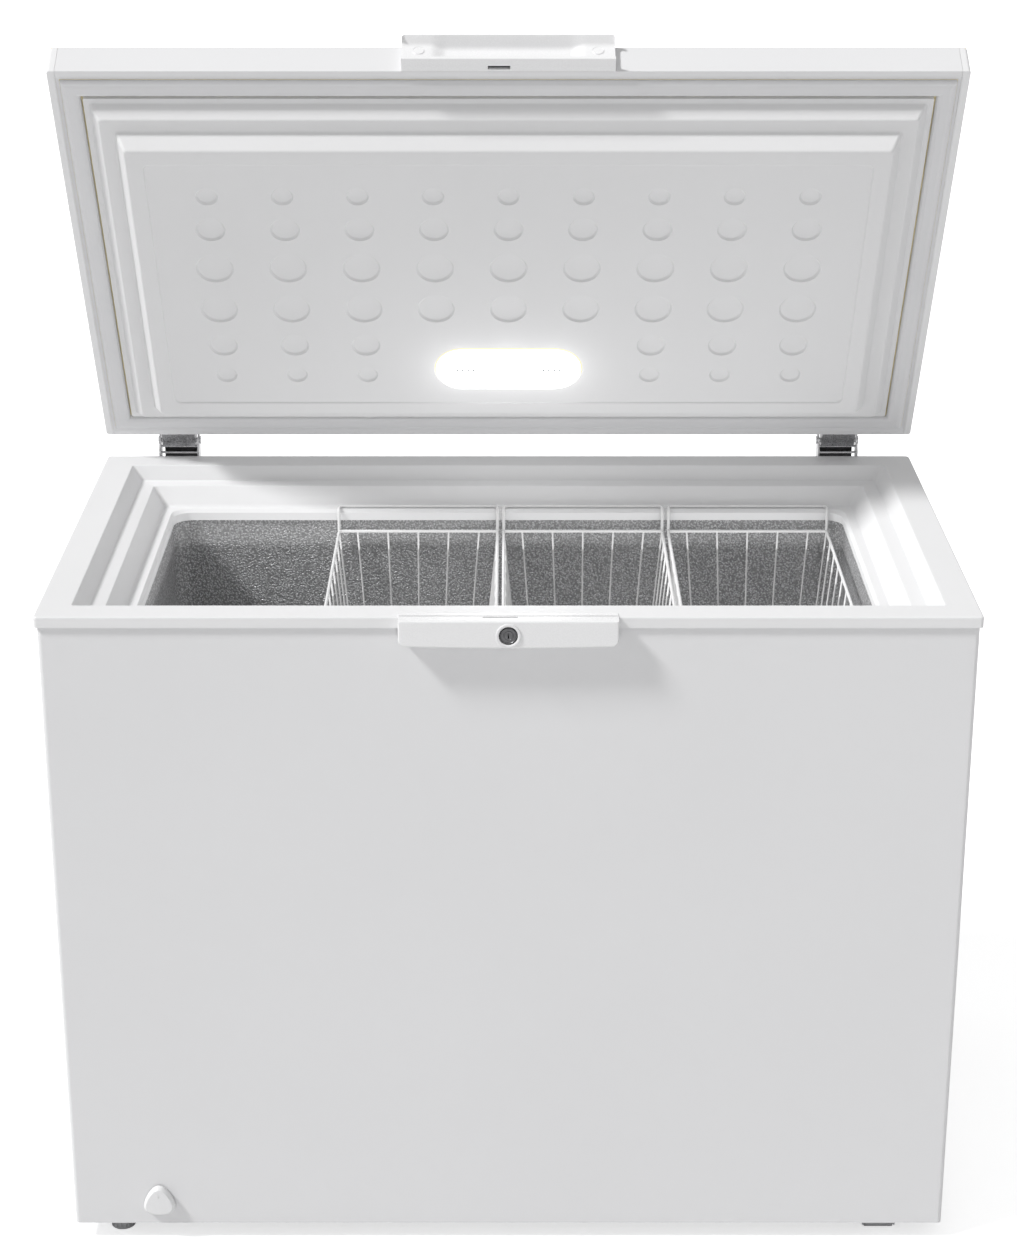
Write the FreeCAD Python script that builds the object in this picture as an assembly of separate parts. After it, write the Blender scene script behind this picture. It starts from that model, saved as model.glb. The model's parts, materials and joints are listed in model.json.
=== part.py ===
import FreeCAD, Part
import math
import os

# Chest freezer, lid standing open at 60 degrees. Millimetres, +X to the user's right, +Y towards
# the back, +Z up. The pieces are laid out from the front face of the cabinet (y = 0) and from the
# floor (z = 0); at the end everything moves along Y so that the origin is under the middle of the
# whole freezer.

V = FreeCAD.Vector

# ---- cabinet ----
cabinet_width = 1000.0
cabinet_depth = 572.5
cabinet_bottom = 22.0          # clearance under the shell
cabinet_height = 736.0         # shell that shows below the rim collar
shell_sheet = 1.0
shell_corner_radius = 5.0
base_sheet = 2.0
base_clearance = 0.1           # between the base pan and the shell's inner face
base_corner_notch = 4.0

# ---- rim collar: distances in from its outer edge, and down from its top ----
rim_overhang = 3.0
rim_face_height = 12.4
rim_wall = 2.0
rim_flange = 36.0
rim_flange_back = 40.0
rim_shelf_in = 48.0            # upper shelf, where the lid's first step comes to lie
rim_shelf_out = 64.5
rim_shelf_drop = 17.5
rim_shelf_fall = 1.5           # the shelf slopes down a little towards the inside
rim_ledge_in = 79.0            # lower ledge, which carries the baskets
rim_ledge_out = 90.0
rim_ledge_drop = 41.0
rim_lip_in = 93.5
rim_lip_drop = 54.0

# ---- inner liner ----
liner_sheet = 1.0
liner_corner_radius = 22.0
liner_floor = 82.0
step_length = 285.0            # raised part of the floor, over the compressor, from the shell's side
step_above_bay = 50.0

# ---- compressor bay ----
bay_width = 238.0              # from the shell's right side
bay_front = 130.0
bay_top = 305.0
bay_sheet = 1.0
rear_opening_margin = 14.0
rear_cover_sheet = 1.5
louvre_count = 9
louvre_pitch = 20.0
louvre_height = 7.0
louvre_low = 80.0
louvre_left = 83.0             # from the bay's left wall
louvre_right = 30.0            # from the shell's side
cover_screw_inset = 9.5
cover_screw_radius = 1.8
cover_screw_head = 3.6

# ---- compressor and tubes ----
compressor_from_bay_left = 126.0
compressor_from_back = 172.5
compressor_radius = 68.0
compressor_height = 168.0
compressor_round = 26.0
grommet_height = 12.0
grommet_radius = 9.0
grommet_spacing_x = 150.0
grommet_spacing_y = 96.0
compressor_plate = 3.0
plate_margin = 12.0
stub_radius = 4.0
stub_side = 20.0
stub_back = 30.0
stub_rise = 20.0
bolt_radius = 3.0
bolt_head_radius = 6.0
bolt_head_height = 4.0
terminal_depth = 24.0
terminal_width = 52.0
terminal_low = 60.0
terminal_height = 62.0
tube_radius = 4.0
capillary_radius = 1.25
capillary_z = 130.0
drier_radius = 9.0
drier_low = 150.0
drier_high = 232.0
drier_neck_radius = 3.0
coil_radius = 4.0
evaporator_turns = 5
evaporator_above_step = 45.0
evaporator_below_rim = 110.4
evaporator_exit_y = 300.0
evaporator_bend = 26.0
condenser_passes = 4
condenser_above_bay = 40.0
condenser_below_rim = 161.4
condenser_from_back = 27.5
condenser_bend = 24.0
coil_clearance = 1.0

# ---- lid: heights from the plane of its lip when it is shut ----
lid_back_setback = 4.2         # the lid's back lies this far ahead of the rim's back
lid_height = 43.0
lid_sheet = 1.2
lid_lift = 5.0                 # gap between the rim and the lip plane of the shut lid
lid_setback = 0.3              # the lid's front lies this far behind the rim's front
lid_end_trim = 9.0
lid_lip = 7.0
lid_band = 12.5                # sloping band from the lip to the gasket
lid_band_rise = 2.0
gasket_out = 34.0
gasket_crown = 4.7
lid_liner_wall = 1.6
lid_flange_in = 36.0
lid_flange_out = 42.0
lid_flange_drop = 3.0
lid_step_in = 52.5
lid_step_out = 68.7
lid_step_drop = 19.5
lid_plug_in = 79.2
lid_plug_drop = 40.4
lid_panel_in = 99.0
lid_panel_recess = 1.5
dimple_side_margin = 165.0     # outermost column of dimples to the lid's side
dimple_depth = 2.0
# share of the panel's half depth from its middle to the row, radius, and whether the middle is bare
dimple_rows = [(-0.75, 12.5, True), (-0.4878, 17.0, True), (-0.1713, 21.75, False),
               (0.1713, 21.75, False), (0.4878, 17.0, False), (0.75, 12.5, False)]

# ---- lamp in the lid ----
lamp_length = 174.0
lamp_width = 65.0
lamp_share = 0.6968            # of the panel's half depth, from its middle towards the hinges
lamp_flange = 3.0
lamp_lens_height = 2.5
lamp_depth = 22.0
lamp_wall = 1.5
lamp_vent_radius = 1.25
lamp_vent_pitch = 6.4
lamp_vent_x = 51.5

# ---- hinges ----
hinge_inset = 86.0             # middle of a hinge to the shell's side
hinge_behind_rim = 16.5        # hinge axis behind the rim collar
hinge_above_rim = 15.9         # hinge axis above the rim collar
hinge_pin_radius = 3.0
spring_radius = 6.0
spring_half = 12.0
running_clearance = 0.05
bracket_width = 50.0
bracket_sheet = 2.0
bracket_drop = 98.0            # lower end of the bracket, below the shell's top
arm_width = 41.0
arm_sheet = 2.0
lid_open_angle = 60.0

# ---- handle on the lid, lock housing on the cabinet ----
handle_width = 233.0
handle_depth = 17.0
handle_boss_depth = 10.0
handle_pocket_depth = 15.0
handle_flange = 5.0
handle_slope_low = 34.8
pocket_half_out = 85.4
pocket_half_in = 66.7
cap_radius = 6.8
cap_x = 98.0
cap_height = 26.0
housing_drop = 29.4            # below the top of the rim
housing_depth = 20.0
housing_wall = 2.0
housing_flange = 1.5
housing_flange_reach = 5.6
housing_corner_radius = 7.0
lock_drop = 14.9
lock_bezel_radius = 13.5
lock_plug_radius = 9.5
cam_front = 8.2                # front face of the cam plate, ahead of the cabinet face
cam_sheet = 1.5
cam_reach = 26.0
cam_hook_radius = 23.5
slot_left = -27.0
slot_right = 10.0
catch_left = -22.5
catch_right = 2.0

# ---- drain: dial at the front, stopper in the floor of the liner ----
drain_inset = 98.5
drain_z = 52.0
drain_inlet_offset = 21.5      # inlet in the liner's floor, right of the dial
drain_inlet_y = 135.0
dial_width = 34.5
dial_height = 37.5
dial_front = 8.5
dial_gap = 1.3
dial_tube_radius = 7.0
sleeve_radius = 13.0
sleeve_wall = 2.0
sleeve_length = 55.0
turn_ring_y = 20.0
spout_end = 48.0
spout_wall = 2.0
dial_chamfer = 1.6
drain_pipe_radius = 8.0
drain_pipe_bore = 6.0
stopper_radius = 14.0
stopper_height = 4.0
stopper_stem = 14.0

# ---- feet and rollers ----
foot_inset = 50.0
foot_radius = 14.0
foot_height = 14.0
foot_setback = 34.0
foot_stud_radius = 4.0
foot_ribs = 16
foot_socket_radius = 12.0
roller_inset = 69.0
roller_radius = 10.0
roller_width = 33.0
roller_setback = 30.0
roller_axle_radius = 2.5
roller_bracket_inset = 25.0
roller_bracket_length = 113.0

# ---- baskets ----
basket_pitch = 202.55
basket_right_gap = 16.0        # from the right-hand basket to the rim's lip
basket_width = 198.7
basket_depth = 200.0
basket_frame_drop = 67.0       # top frame below the top of the rim
basket_wire = 3.8
basket_thin_wire = 2.4
basket_wall_gap = 4.0          # between the frame's middle line and the rim's lip
basket_taper = 0.1
basket_seat_gap = 0.3
basket_bars = 5
basket_bar_pitch = 37.4
basket_hoops = 4
basket_side_bars = 8
basket_floor_bars = 7

# ---- thermostat and mains inlet on the rear cover ----
thermostat_from_bay_left = 43.0
thermostat_z = 235.0
thermostat_half = 20.0
thermostat_depth = 30.0
knob_radius = 19.0
knob_flutes = 12
knob_flute_radius = 2.0
knob_height = 14.0
shaft_radius = 3.0
inlet_inset = 45.0
inlet_z = 63.0
inlet_radius = 9.0
inlet_bore = 4.0

# ---- vent grille on the right-hand side ----
vent_from_back = 42.5
vent_length = 200.0
vent_low = 70.0
vent_high = 190.0
vent_slots = 8

# ---- worked-out places ----
half_width = cabinet_width / 2
shell_top = cabinet_bottom + cabinet_height
rim_top = shell_top + rim_face_height
rim_half = half_width + rim_overhang
rim_front = -rim_overhang
rim_back = cabinet_depth + rim_overhang
liner_inset = rim_lip_in - rim_wall
hinge_y = rim_back + hinge_behind_rim
hinge_z = rim_top + hinge_above_rim
lip_z = rim_top + lid_lift
lid_front = rim_front + lid_setback
lid_back = rim_back - lid_back_setback
lid_depth = lid_back - lid_front
lid_half = rim_half
panel_half_depth = lid_depth / 2 - lid_panel_in
dimple_pitch = (lid_half - dimple_side_margin) / 4
lamp_back = lamp_share * panel_half_depth
lock_z = rim_top - lock_drop
housing_low = rim_top - housing_drop
liner_step_x = half_width - step_length
liner_step_z = bay_top + step_above_bay
bay_left = half_width - bay_width
compressor_x = bay_left + compressor_from_bay_left
compressor_y = cabinet_depth - compressor_from_back
evaporator_low = liner_step_z + evaporator_above_step
evaporator_pitch = (rim_top - evaporator_below_rim - evaporator_low) / evaporator_turns
condenser_low = bay_top + condenser_above_bay
condenser_pitch = (rim_top - condenser_below_rim - condenser_low) / (condenser_passes - 1)
hinge_x = half_width - hinge_inset
bracket_low = shell_top - bracket_drop
drain_x = -(half_width - drain_inset)
drain_inlet_x = drain_x + drain_inlet_offset
foot_x = -(half_width - foot_inset)
roller_x = half_width - roller_inset
roller_bracket_right = half_width - roller_bracket_inset
roller_bracket_left = roller_bracket_right - roller_bracket_length
basket_lefts = [rim_half - rim_lip_in - basket_right_gap - basket_width - i * basket_pitch for i in (2, 1, 0)]
thermostat_x = bay_left + thermostat_from_bay_left
inlet_x = half_width - inlet_inset
vent_back = cabinet_depth - vent_from_back
vent_front = vent_back - vent_length

nodes = {}
bodies = {}


# ---------------------------------------------------------------- helpers
def box(x0, x1, y0, y1, z0, z1):
    return Part.makeBox(x1 - x0, y1 - y0, z1 - z0, V(x0, y0, z0))


def rod(radius, start, end):
    """A round bar from start to end."""
    a = V(*start)
    b = V(*end)
    return Part.makeCylinder(radius, (b - a).Length, a, b - a)


def tube(outer, inner, start, end):
    return rod(outer, start, end).cut(rod(inner, start, end))


def prism(points, direction):
    """A flat outline given by its corners, extruded along a direction."""
    corners = [V(*p) for p in points]
    return Part.Face(Part.makePolygon(corners + corners[:1])).extrude(V(*direction))


def upright_edges(shape, y_limit=math.inf):
    """The vertical edges of a shape that lie nearer to the front than y_limit."""
    found = []
    for edge in shape.Edges:
        a, b = [v.Point for v in edge.Vertexes]
        if abs(a.x - b.x) < 0.01 and abs(a.y - b.y) < 0.01 and a.y < y_limit:
            found.append(edge)
    return found


def fuse(shapes):
    whole = shapes[0].multiFuse(shapes[1:]) if len(shapes) > 1 else shapes[0]
    return whole.removeSplitter()


def rim_rectangle(inset):
    return (-rim_half + inset, rim_half - inset, rim_front + inset, rim_back - inset)


def lid_rectangle(inset):
    return (-lid_half + inset, lid_half - inset, lid_front + inset, lid_back - inset)


def corners_of(rectangle, z):
    x0, x1, y0, y1 = rectangle
    return [V(x0, y0, z), V(x1, y0, z), V(x1, y1, z), V(x0, y1, z)]


def side_faces(low, high):
    """Four flat faces between two level rectangles."""
    faces = []
    for i in range(4):
        j = (i + 1) % 4
        quad = [low[i], low[j], high[j], high[i], low[i]]
        faces.append(Part.Face(Part.makePolygon(quad)))
    return faces


def solid_of(faces):
    solid = Part.Solid(Part.Shell(faces))
    if solid.Volume < 0:
        solid.reverse()
    return solid


def ring(levels):
    """A mitred ring: its section is the closed list of (rectangle, z) levels."""
    loops = [corners_of(r, z) for r, z in levels]
    faces = []
    for i, loop in enumerate(loops):
        faces += side_faces(loop, loops[(i + 1) % len(loops)])
    return solid_of(faces)


def stepped(levels):
    """A stepped block: rectangles at successive heights, closed by the first and the last."""
    loops = [corners_of(r, z) for r, z in levels]
    faces = []
    for low, high in zip(loops, loops[1:]):
        faces += side_faces(low, high)
    for loop in (loops[0], loops[-1]):
        faces.append(Part.Face(Part.makePolygon(loop + loop[:1])))
    return solid_of(faces)


def offset_line(points, distance):
    """A line of (a, b) points moved sideways to its left, with mitred corners."""
    moved = []
    count = len(points)
    for i in range(count):
        normals = []
        for j in (i - 1, i):
            if 0 <= j < count - 1:
                da = points[j + 1][0] - points[j][0]
                db = points[j + 1][1] - points[j][1]
                size = math.hypot(da, db)
                normals.append((-db / size, da / size))
        na = sum(n[0] for n in normals) / len(normals)
        nb = sum(n[1] for n in normals) / len(normals)
        scale = distance / (na * na + nb * nb)
        moved.append((points[i][0] + na * scale, points[i][1] + nb * scale))
    return moved


def stadium(length, width, x, y, z, height):
    """A flat bar with half-round ends, long along X, from z upwards."""
    r = width / 2
    reach = length / 2 - r
    middle = box(x - reach, x + reach, y - r, y + r, z, z + height)
    ends = [rod(r, (x + s * reach, y, z), (x + s * reach, y, z + height)) for s in (-1, 1)]
    return fuse([middle] + ends)


def rounded_path(points, radius):
    """Straight runs joined by tangent arcs."""
    corners = [V(*p) for p in points]
    edges = []
    here = corners[0]
    for i in range(1, len(corners) - 1):
        back = (corners[i - 1] - corners[i]).normalize()
        ahead = (corners[i + 1] - corners[i]).normalize()
        half = back.getAngle(ahead) / 2
        limit = 0.45 * min((corners[i - 1] - corners[i]).Length, (corners[i + 1] - corners[i]).Length)
        reach = min(radius / math.tan(half), limit)
        bend = reach * math.tan(half)
        start = corners[i] + back * reach
        end = corners[i] + ahead * reach
        inward = (back + ahead).normalize()
        middle = corners[i] + inward * (bend / math.sin(half) - bend)
        edges.append(Part.LineSegment(here, start).toShape())
        edges.append(Part.Arc(start, middle, end).toShape())
        here = end
    edges.append(Part.LineSegment(here, corners[-1]).toShape())
    return Part.Wire(edges)


def pipe(points, bend, radius):
    """A round tube or wire, filled, along straight runs and arcs."""
    path = rounded_path(points, bend)
    first = V(*points[0])
    circle = Part.Wire(Part.makeCircle(radius, first, V(*points[1]) - first))
    return path.makePipeShell([circle], True, False)


def add(body, name, shape):
    nodes[name] = shape
    bodies[name] = body


def cut_nodes(names, tool):
    for name in names:
        nodes[name] = nodes[name].cut(tool)


# ---------------------------------------------------------------- cabinet
def outer_wrapper():
    """One sheet bent round the front and both sides, open at the back."""
    outer = box(-half_width, half_width, 0, cabinet_depth, cabinet_bottom, rim_top - rim_wall)
    outer = outer.makeFillet(shell_corner_radius, upright_edges(outer, 1))
    inside = half_width - shell_sheet
    inner = box(-inside, inside, shell_sheet, cabinet_depth + 1, cabinet_bottom - 1, rim_top)
    inner = inner.makeFillet(shell_corner_radius - shell_sheet, upright_edges(inner, 2))
    vent = box(inside - 1, half_width + 1, vent_front, vent_back, vent_low, vent_high)
    drain = rod(sleeve_radius, (drain_x, -1, drain_z), (drain_x, 2, drain_z))
    add("cabinet", "outer_wrapper", outer.cut(inner).cut(vent).cut(drain))


def rear_opening(margin, y0, y1):
    inside = half_width - shell_sheet
    return box(bay_left + margin, inside - margin, y0, y1, cabinet_bottom + 2 * margin, bay_top - margin)


def back_panel():
    inside = half_width - shell_sheet
    plate = box(-inside, inside, cabinet_depth - shell_sheet, cabinet_depth, cabinet_bottom,
                rim_top - rim_wall)
    hole = rear_opening(rear_opening_margin, cabinet_depth - 2, cabinet_depth + 1)
    add("cabinet", "back_panel", plate.cut(hole))


def base_pan():
    """Floor sheet, with the walls and roof of the compressor bay folded up from it."""
    inside = half_width - shell_sheet - base_clearance
    front = shell_sheet + base_clearance
    rear = cabinet_depth - shell_sheet
    top = cabinet_bottom + base_sheet
    notch = base_corner_notch
    floor = box(-inside, inside, front, rear, cabinet_bottom, top)
    for x in (-inside, inside):
        floor = floor.cut(box(x - notch, x + notch, front - notch, front + notch, cabinet_bottom - 1, top + 1))
    cover = box(bay_left, inside, bay_front, rear, top, bay_top)
    room = box(bay_left + bay_sheet, inside, bay_front + bay_sheet, rear, top, bay_top - bay_sheet)
    add("cabinet", "base_pan", fuse([floor, cover.cut(room)]))


def liner_block(grow, top):
    """The liner's volume, grown by a sheet thickness: a tub with a step on the right."""
    x0, x1, y0, y1 = rim_rectangle(liner_inset - grow)
    floor = liner_floor - grow
    step_x = liner_step_x + grow
    step_z = liner_step_z - grow
    outline = [(x0, y0, floor), (step_x, y0, floor), (step_x, y0, step_z), (x1, y0, step_z),
               (x1, y0, top), (x0, y0, top)]
    block = prism(outline, (0, y1 - y0, 0))
    return block.makeFillet(liner_corner_radius + grow, upright_edges(block))


def inner_liner():
    outer = liner_block(liner_sheet, liner_top())
    inner = liner_block(0.0, liner_top() + 1)
    hole = rod(drain_pipe_radius, (drain_inlet_x, drain_inlet_y, liner_floor - 5),
               (drain_inlet_x, drain_inlet_y, liner_floor + 5))
    add("cabinet", "inner_liner", outer.cut(inner).cut(hole))


def rim_section():
    """Upper surface of the collar from its outer edge to the tip of its lip: (inset, drop)."""
    return [(0.0, 0.0), (rim_flange, 0.0), (rim_shelf_in, rim_shelf_drop),
            (rim_shelf_out, rim_shelf_drop + rim_shelf_fall), (rim_ledge_in - 1.5, rim_ledge_drop - 2.0),
            (rim_ledge_in, rim_ledge_drop), (rim_ledge_out, rim_ledge_drop),
            (rim_lip_in, rim_ledge_drop + rim_lip_in - rim_ledge_out), (rim_lip_in, rim_lip_drop)]


def rim_underside():
    """The same surface one wall thickness lower: (inset, drop)."""
    lower = offset_line([(a, -b) for a, b in rim_section()], -rim_wall)
    return [(a, -b) for a, b in lower]


def rim_levels(points, wide):
    """Rectangles for (inset, drop) points; point `wide` ends the flange, which is wider at the back."""
    levels = []
    for i, (inset, drop) in enumerate(points):
        x0, x1, y0, y1 = rim_rectangle(inset)
        if i == wide:
            y1 -= rim_flange_back - rim_flange
        levels.append(((x0, x1, y0, y1), rim_top - drop))
    return levels


def rim_collar():
    lower = rim_underside()[:-1]
    lower[0] = (rim_overhang, rim_wall)
    upper_levels = rim_levels(rim_section()[:-1], 1)
    lower_levels = rim_levels(lower, 1)
    skirt = rim_levels([(rim_overhang, rim_face_height), (0.0, rim_face_height)], -1)
    shelves = ring(upper_levels + lower_levels[::-1] + skirt)
    # the lip follows the liner's rounded corners, and a web closes the corners above it
    x0, x1, y0, y1 = rim_rectangle(liner_inset)
    band = box(x0, x1, y0, y1, rim_top - rim_lip_drop, liner_top())
    web = box(x0, x1, y0, y1, liner_top(), liner_top() + rim_wall / 2)
    mouth = liner_block(-rim_wall, liner_top() + rim_wall)
    lip = liner_block(0.0, liner_top() + 1).common(band).cut(mouth)
    add("cabinet", "rim_collar", fuse([shelves, lip, web.cut(mouth)]))


def rim_hollow():
    """What the collar and everything inside it takes out of the foam."""
    return stepped(rim_levels(rim_underside()[1:-1], 0))


def liner_top():
    """The liner's edge meets the collar's underside where the lip turns down."""
    return rim_top - rim_underside()[-2][1]


def cabinet_foam():
    inside = half_width - shell_sheet
    rear = cabinet_depth - shell_sheet
    low = cabinet_bottom + base_sheet
    foam = box(-inside, inside, shell_sheet, rear, low, rim_top - rim_wall)
    foam = foam.makeFillet(shell_corner_radius - shell_sheet, upright_edges(foam, 2))
    foam = foam.cut(liner_block(liner_sheet, liner_top() + 1)).cut(rim_hollow())
    foam = foam.cut(box(bay_left, inside + 1, bay_front, rear + 1, low - 1, bay_top))
    add("cabinet", "cabinet_foam", foam)


# ---------------------------------------------------------------- cooling circuit
def evaporator_coil():
    """Tube wound round the liner above the step; both ends come down through the bay's roof."""
    gap = liner_sheet + coil_radius + coil_clearance
    x0, x1, y0, y1 = rim_rectangle(liner_inset - gap)
    z = evaporator_low
    riser_y = y1 - 40
    leg_x = x1 + 16
    path = [(x1, riser_y, bay_top), (x1, riser_y, z)]
    for turn in range(evaporator_turns):
        path += [(x1, y1, z), (x0, y1, z), (x0, y0, z), (x1, y0, z)]
        z += evaporator_pitch
    path += [(x1, evaporator_exit_y, z), (leg_x, evaporator_exit_y, z), (leg_x, evaporator_exit_y, bay_top)]
    add("cabinet", "evaporator_coil", pipe(path, evaporator_bend, coil_radius))
    return path


def condenser_coil():
    """Tube run to and fro behind the front and side skins, from the bay and back to it."""
    gap = coil_radius + coil_clearance
    x = half_width - shell_sheet - gap
    y_front = shell_sheet + gap
    y_back = cabinet_depth - condenser_from_back
    z = condenser_low
    out_x = bay_left - 26
    out_y = cabinet_depth - 92.5
    out_z = bay_top - 50
    path = [(bay_left, out_y, out_z), (out_x, out_y, out_z), (out_x, out_y, z), (out_x, y_back, z)]
    side = 1
    for i in range(condenser_passes):
        last = i == condenser_passes - 1
        path += [(side * x, y_back, z), (side * x, y_front, z), (-side * x, y_front, z)]
        if last:
            break
        path.append((-side * x, y_back, z))
        z += condenser_pitch
        side = -side
    y_end = y_back + 17
    return_z = condenser_low - 22
    in_x = bay_left - 44
    in_y = y_back - 15
    in_z = bay_top - 43
    path += [(-side * x, y_end, z), (-side * x, y_end, return_z), (in_x, y_end, return_z),
             (in_x, in_y, return_z), (in_x, in_y, in_z), (bay_left, in_y, in_z)]
    add("cabinet", "condenser_coil", pipe(path, condenser_bend, coil_radius))
    return path


def compressor():
    low = cabinet_bottom + base_sheet + grommet_height
    top = low + compressor_height
    body = rod(compressor_radius, (compressor_x, compressor_y, low),
               (compressor_x, compressor_y, top))
    rims = [e for e in body.Edges if abs(e.Length - 2 * math.pi * compressor_radius) < 1]
    body = body.makeFillet(compressor_round, rims)
    dx = grommet_spacing_x / 2
    dy = grommet_spacing_y / 2
    edge = plate_margin
    plate = box(compressor_x - dx - edge, compressor_x + dx + edge, compressor_y - dy - edge,
                compressor_y + dy + edge, low, low + compressor_plate)
    stub_y = compressor_y + stub_back
    stubs = [rod(stub_radius, (compressor_x + s * stub_side, stub_y, top - stub_rise),
                 (compressor_x + s * stub_side, stub_y, top + stub_rise)) for s in (-1, 1)]
    shell = fuse([body, plate] + stubs)
    grommets = []
    bolts = []
    floor = cabinet_bottom + base_sheet
    for sx in (-1, 1):
        for sy in (-1, 1):
            x = compressor_x + sx * dx
            y = compressor_y + sy * dy
            hole = rod(bolt_radius, (x, y, cabinet_bottom - 1), (x, y, low + 20))
            shell = shell.cut(hole)
            cut_nodes(["base_pan"], hole)
            grommets.append(tube(grommet_radius, bolt_radius, (x, y, floor), (x, y, low)))
            seat = low + compressor_plate
            head = rod(bolt_head_radius, (x, y, seat), (x, y, seat + bolt_head_height))
            shank = rod(bolt_radius, (x, y, cabinet_bottom), (x, y, seat))
            bolts.append(fuse([head, shank]))
    add("cabinet", "compressor", shell)
    add("cabinet", "compressor_grommets", Part.makeCompound(grommets))
    add("cabinet", "compressor_bolts", Part.makeCompound(bolts))
    side = compressor_x - compressor_radius
    half = terminal_width / 2
    cover = box(side - terminal_depth, side + 12, compressor_y - half, compressor_y + half,
                low + terminal_low, low + terminal_low + terminal_height)
    add("cabinet", "terminal_cover", cover.cut(shell))
    return top + stub_rise


def bay_tubes(stub_top, evaporator, condenser):
    y = compressor_y + stub_back
    x = compressor_x + stub_side
    end = evaporator[0]
    roof = bay_top - bay_sheet
    path = [(x, y, stub_top), (x, y, stub_top + 28), (end[0], end[1], roof - 26), (end[0], end[1], roof)]
    add("cabinet", "suction_tube", pipe(path, 14.0, tube_radius))
    x = compressor_x - stub_side
    wall = bay_left + bay_sheet
    height = condenser[0][2]
    path = [(x, y, stub_top), (x, y, height), (wall + 34, condenser[0][1], height),
            (wall, condenser[0][1], height)]
    add("cabinet", "discharge_tube", pipe(path, 12.0, tube_radius))
    back = condenser[-1][1]
    high = condenser[-1][2]
    drier_x = wall + 24
    can = rod(drier_radius, (drier_x, back, drier_low), (drier_x, back, drier_high))
    rims = [e for e in can.Edges if abs(e.Length - 2 * math.pi * drier_radius) < 0.1]
    can = can.makeFillet(5.0, rims)
    neck = pipe([(drier_x, back, drier_high - 4), (drier_x, back, high), (wall, back, high)], 10.0,
                drier_neck_radius)
    add("cabinet", "filter_drier", fuse([can, neck]))
    last = evaporator[-1]
    low = capillary_z
    near_wall = wall + 11
    path = [(drier_x, back, drier_low), (drier_x, back, low), (near_wall, back - 50, low),
            (near_wall, last[1], low), (last[0], last[1], low), (last[0], last[1], roof)]
    add("cabinet", "capillary_tube", pipe(path, 12.0, capillary_radius))
    roof_ends = [(evaporator[0], tube_radius), (last, coil_radius)]
    for point, radius in roof_ends:
        cut_nodes(["base_pan"], rod(radius, (point[0], point[1], roof - 1), (point[0], point[1], bay_top + 1)))
    for point in (condenser[0], condenser[-1]):
        cut_nodes(["base_pan"], rod(tube_radius, (bay_left - 1, point[1], point[2]),
                                    (wall + 1, point[1], point[2])))


# ---------------------------------------------------------------- back and side of the bay
def rear_cover():
    y0 = cabinet_depth
    y1 = cabinet_depth + rear_cover_sheet
    plate = rear_opening(rear_opening_margin / 3, y0, y1)
    for i in range(louvre_count):
        z = louvre_low + louvre_pitch * i
        plate = plate.cut(box(bay_left + louvre_left, half_width - louvre_right, y0 - 1, y1 + 1,
                              z, z + louvre_height))
    plate = plate.cut(rod(shaft_radius + 2, (thermostat_x, y0 - 1, thermostat_z),
                          (thermostat_x, y1 + 1, thermostat_z)))
    neck_radius = inlet_radius - 1.5
    gland_hole = rod(neck_radius, (inlet_x, y0 - 1, inlet_z), (inlet_x, y1 + 1, inlet_z))
    plate = plate.cut(gland_hole)
    screws = []
    for x in (bay_left + cover_screw_inset, half_width - shell_sheet - cover_screw_inset):
        for z in (cabinet_bottom + 45, bay_top - 25):
            head = rod(cover_screw_head, (x, y1, z), (x, y1 + 2, z))
            shank = rod(cover_screw_radius, (x, y0 - 8, z), (x, y1, z))
            screws.append(fuse([head, shank]))
            plate = plate.cut(shank)
            cut_nodes(["back_panel", "base_pan"], shank)
    add("cabinet", "rear_cover", plate)
    flange = rod(inlet_radius, (inlet_x, y1, inlet_z), (inlet_x, y1 + 3, inlet_z))
    neck = rod(neck_radius, (inlet_x, y0 - 8, inlet_z), (inlet_x, y1 + 14, inlet_z))
    bore = rod(inlet_bore, (inlet_x, y0 - 9, inlet_z), (inlet_x, y1 + 15, inlet_z))
    add("cabinet", "mains_inlet", fuse([flange, neck]).cut(bore))
    return screws


def thermostat():
    y0 = cabinet_depth - thermostat_depth
    y1 = cabinet_depth
    half = thermostat_half
    case = box(thermostat_x - half, thermostat_x + half, y0, y1, thermostat_z - half,
               thermostat_z + half)
    bore = rod(shaft_radius + running_clearance, (thermostat_x, y0 + 6, thermostat_z),
               (thermostat_x, y1 + 1, thermostat_z))
    add("cabinet", "thermostat", case.cut(bore))
    face = cabinet_depth + rear_cover_sheet + 0.5
    dial = rod(knob_radius, (thermostat_x, face, thermostat_z),
               (thermostat_x, face + knob_height, thermostat_z))
    flute_circle = knob_radius + 0.4 * knob_flute_radius
    for i in range(knob_flutes):
        a = 2 * math.pi * i / knob_flutes
        x = thermostat_x + flute_circle * math.cos(a)
        z = thermostat_z + flute_circle * math.sin(a)
        dial = dial.cut(rod(knob_flute_radius, (x, face - 1, z), (x, face + knob_height + 1, z)))
    pointer = box(thermostat_x - 1, thermostat_x + 1, face + knob_height - 1.2,
                  face + knob_height + 1, thermostat_z + 4, thermostat_z + 14)
    shaft = rod(shaft_radius, (thermostat_x, y0 + 7, thermostat_z), (thermostat_x, face + 1, thermostat_z))
    add("thermostat_knob", "thermostat_knob", fuse([dial.cut(pointer), shaft]))


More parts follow.
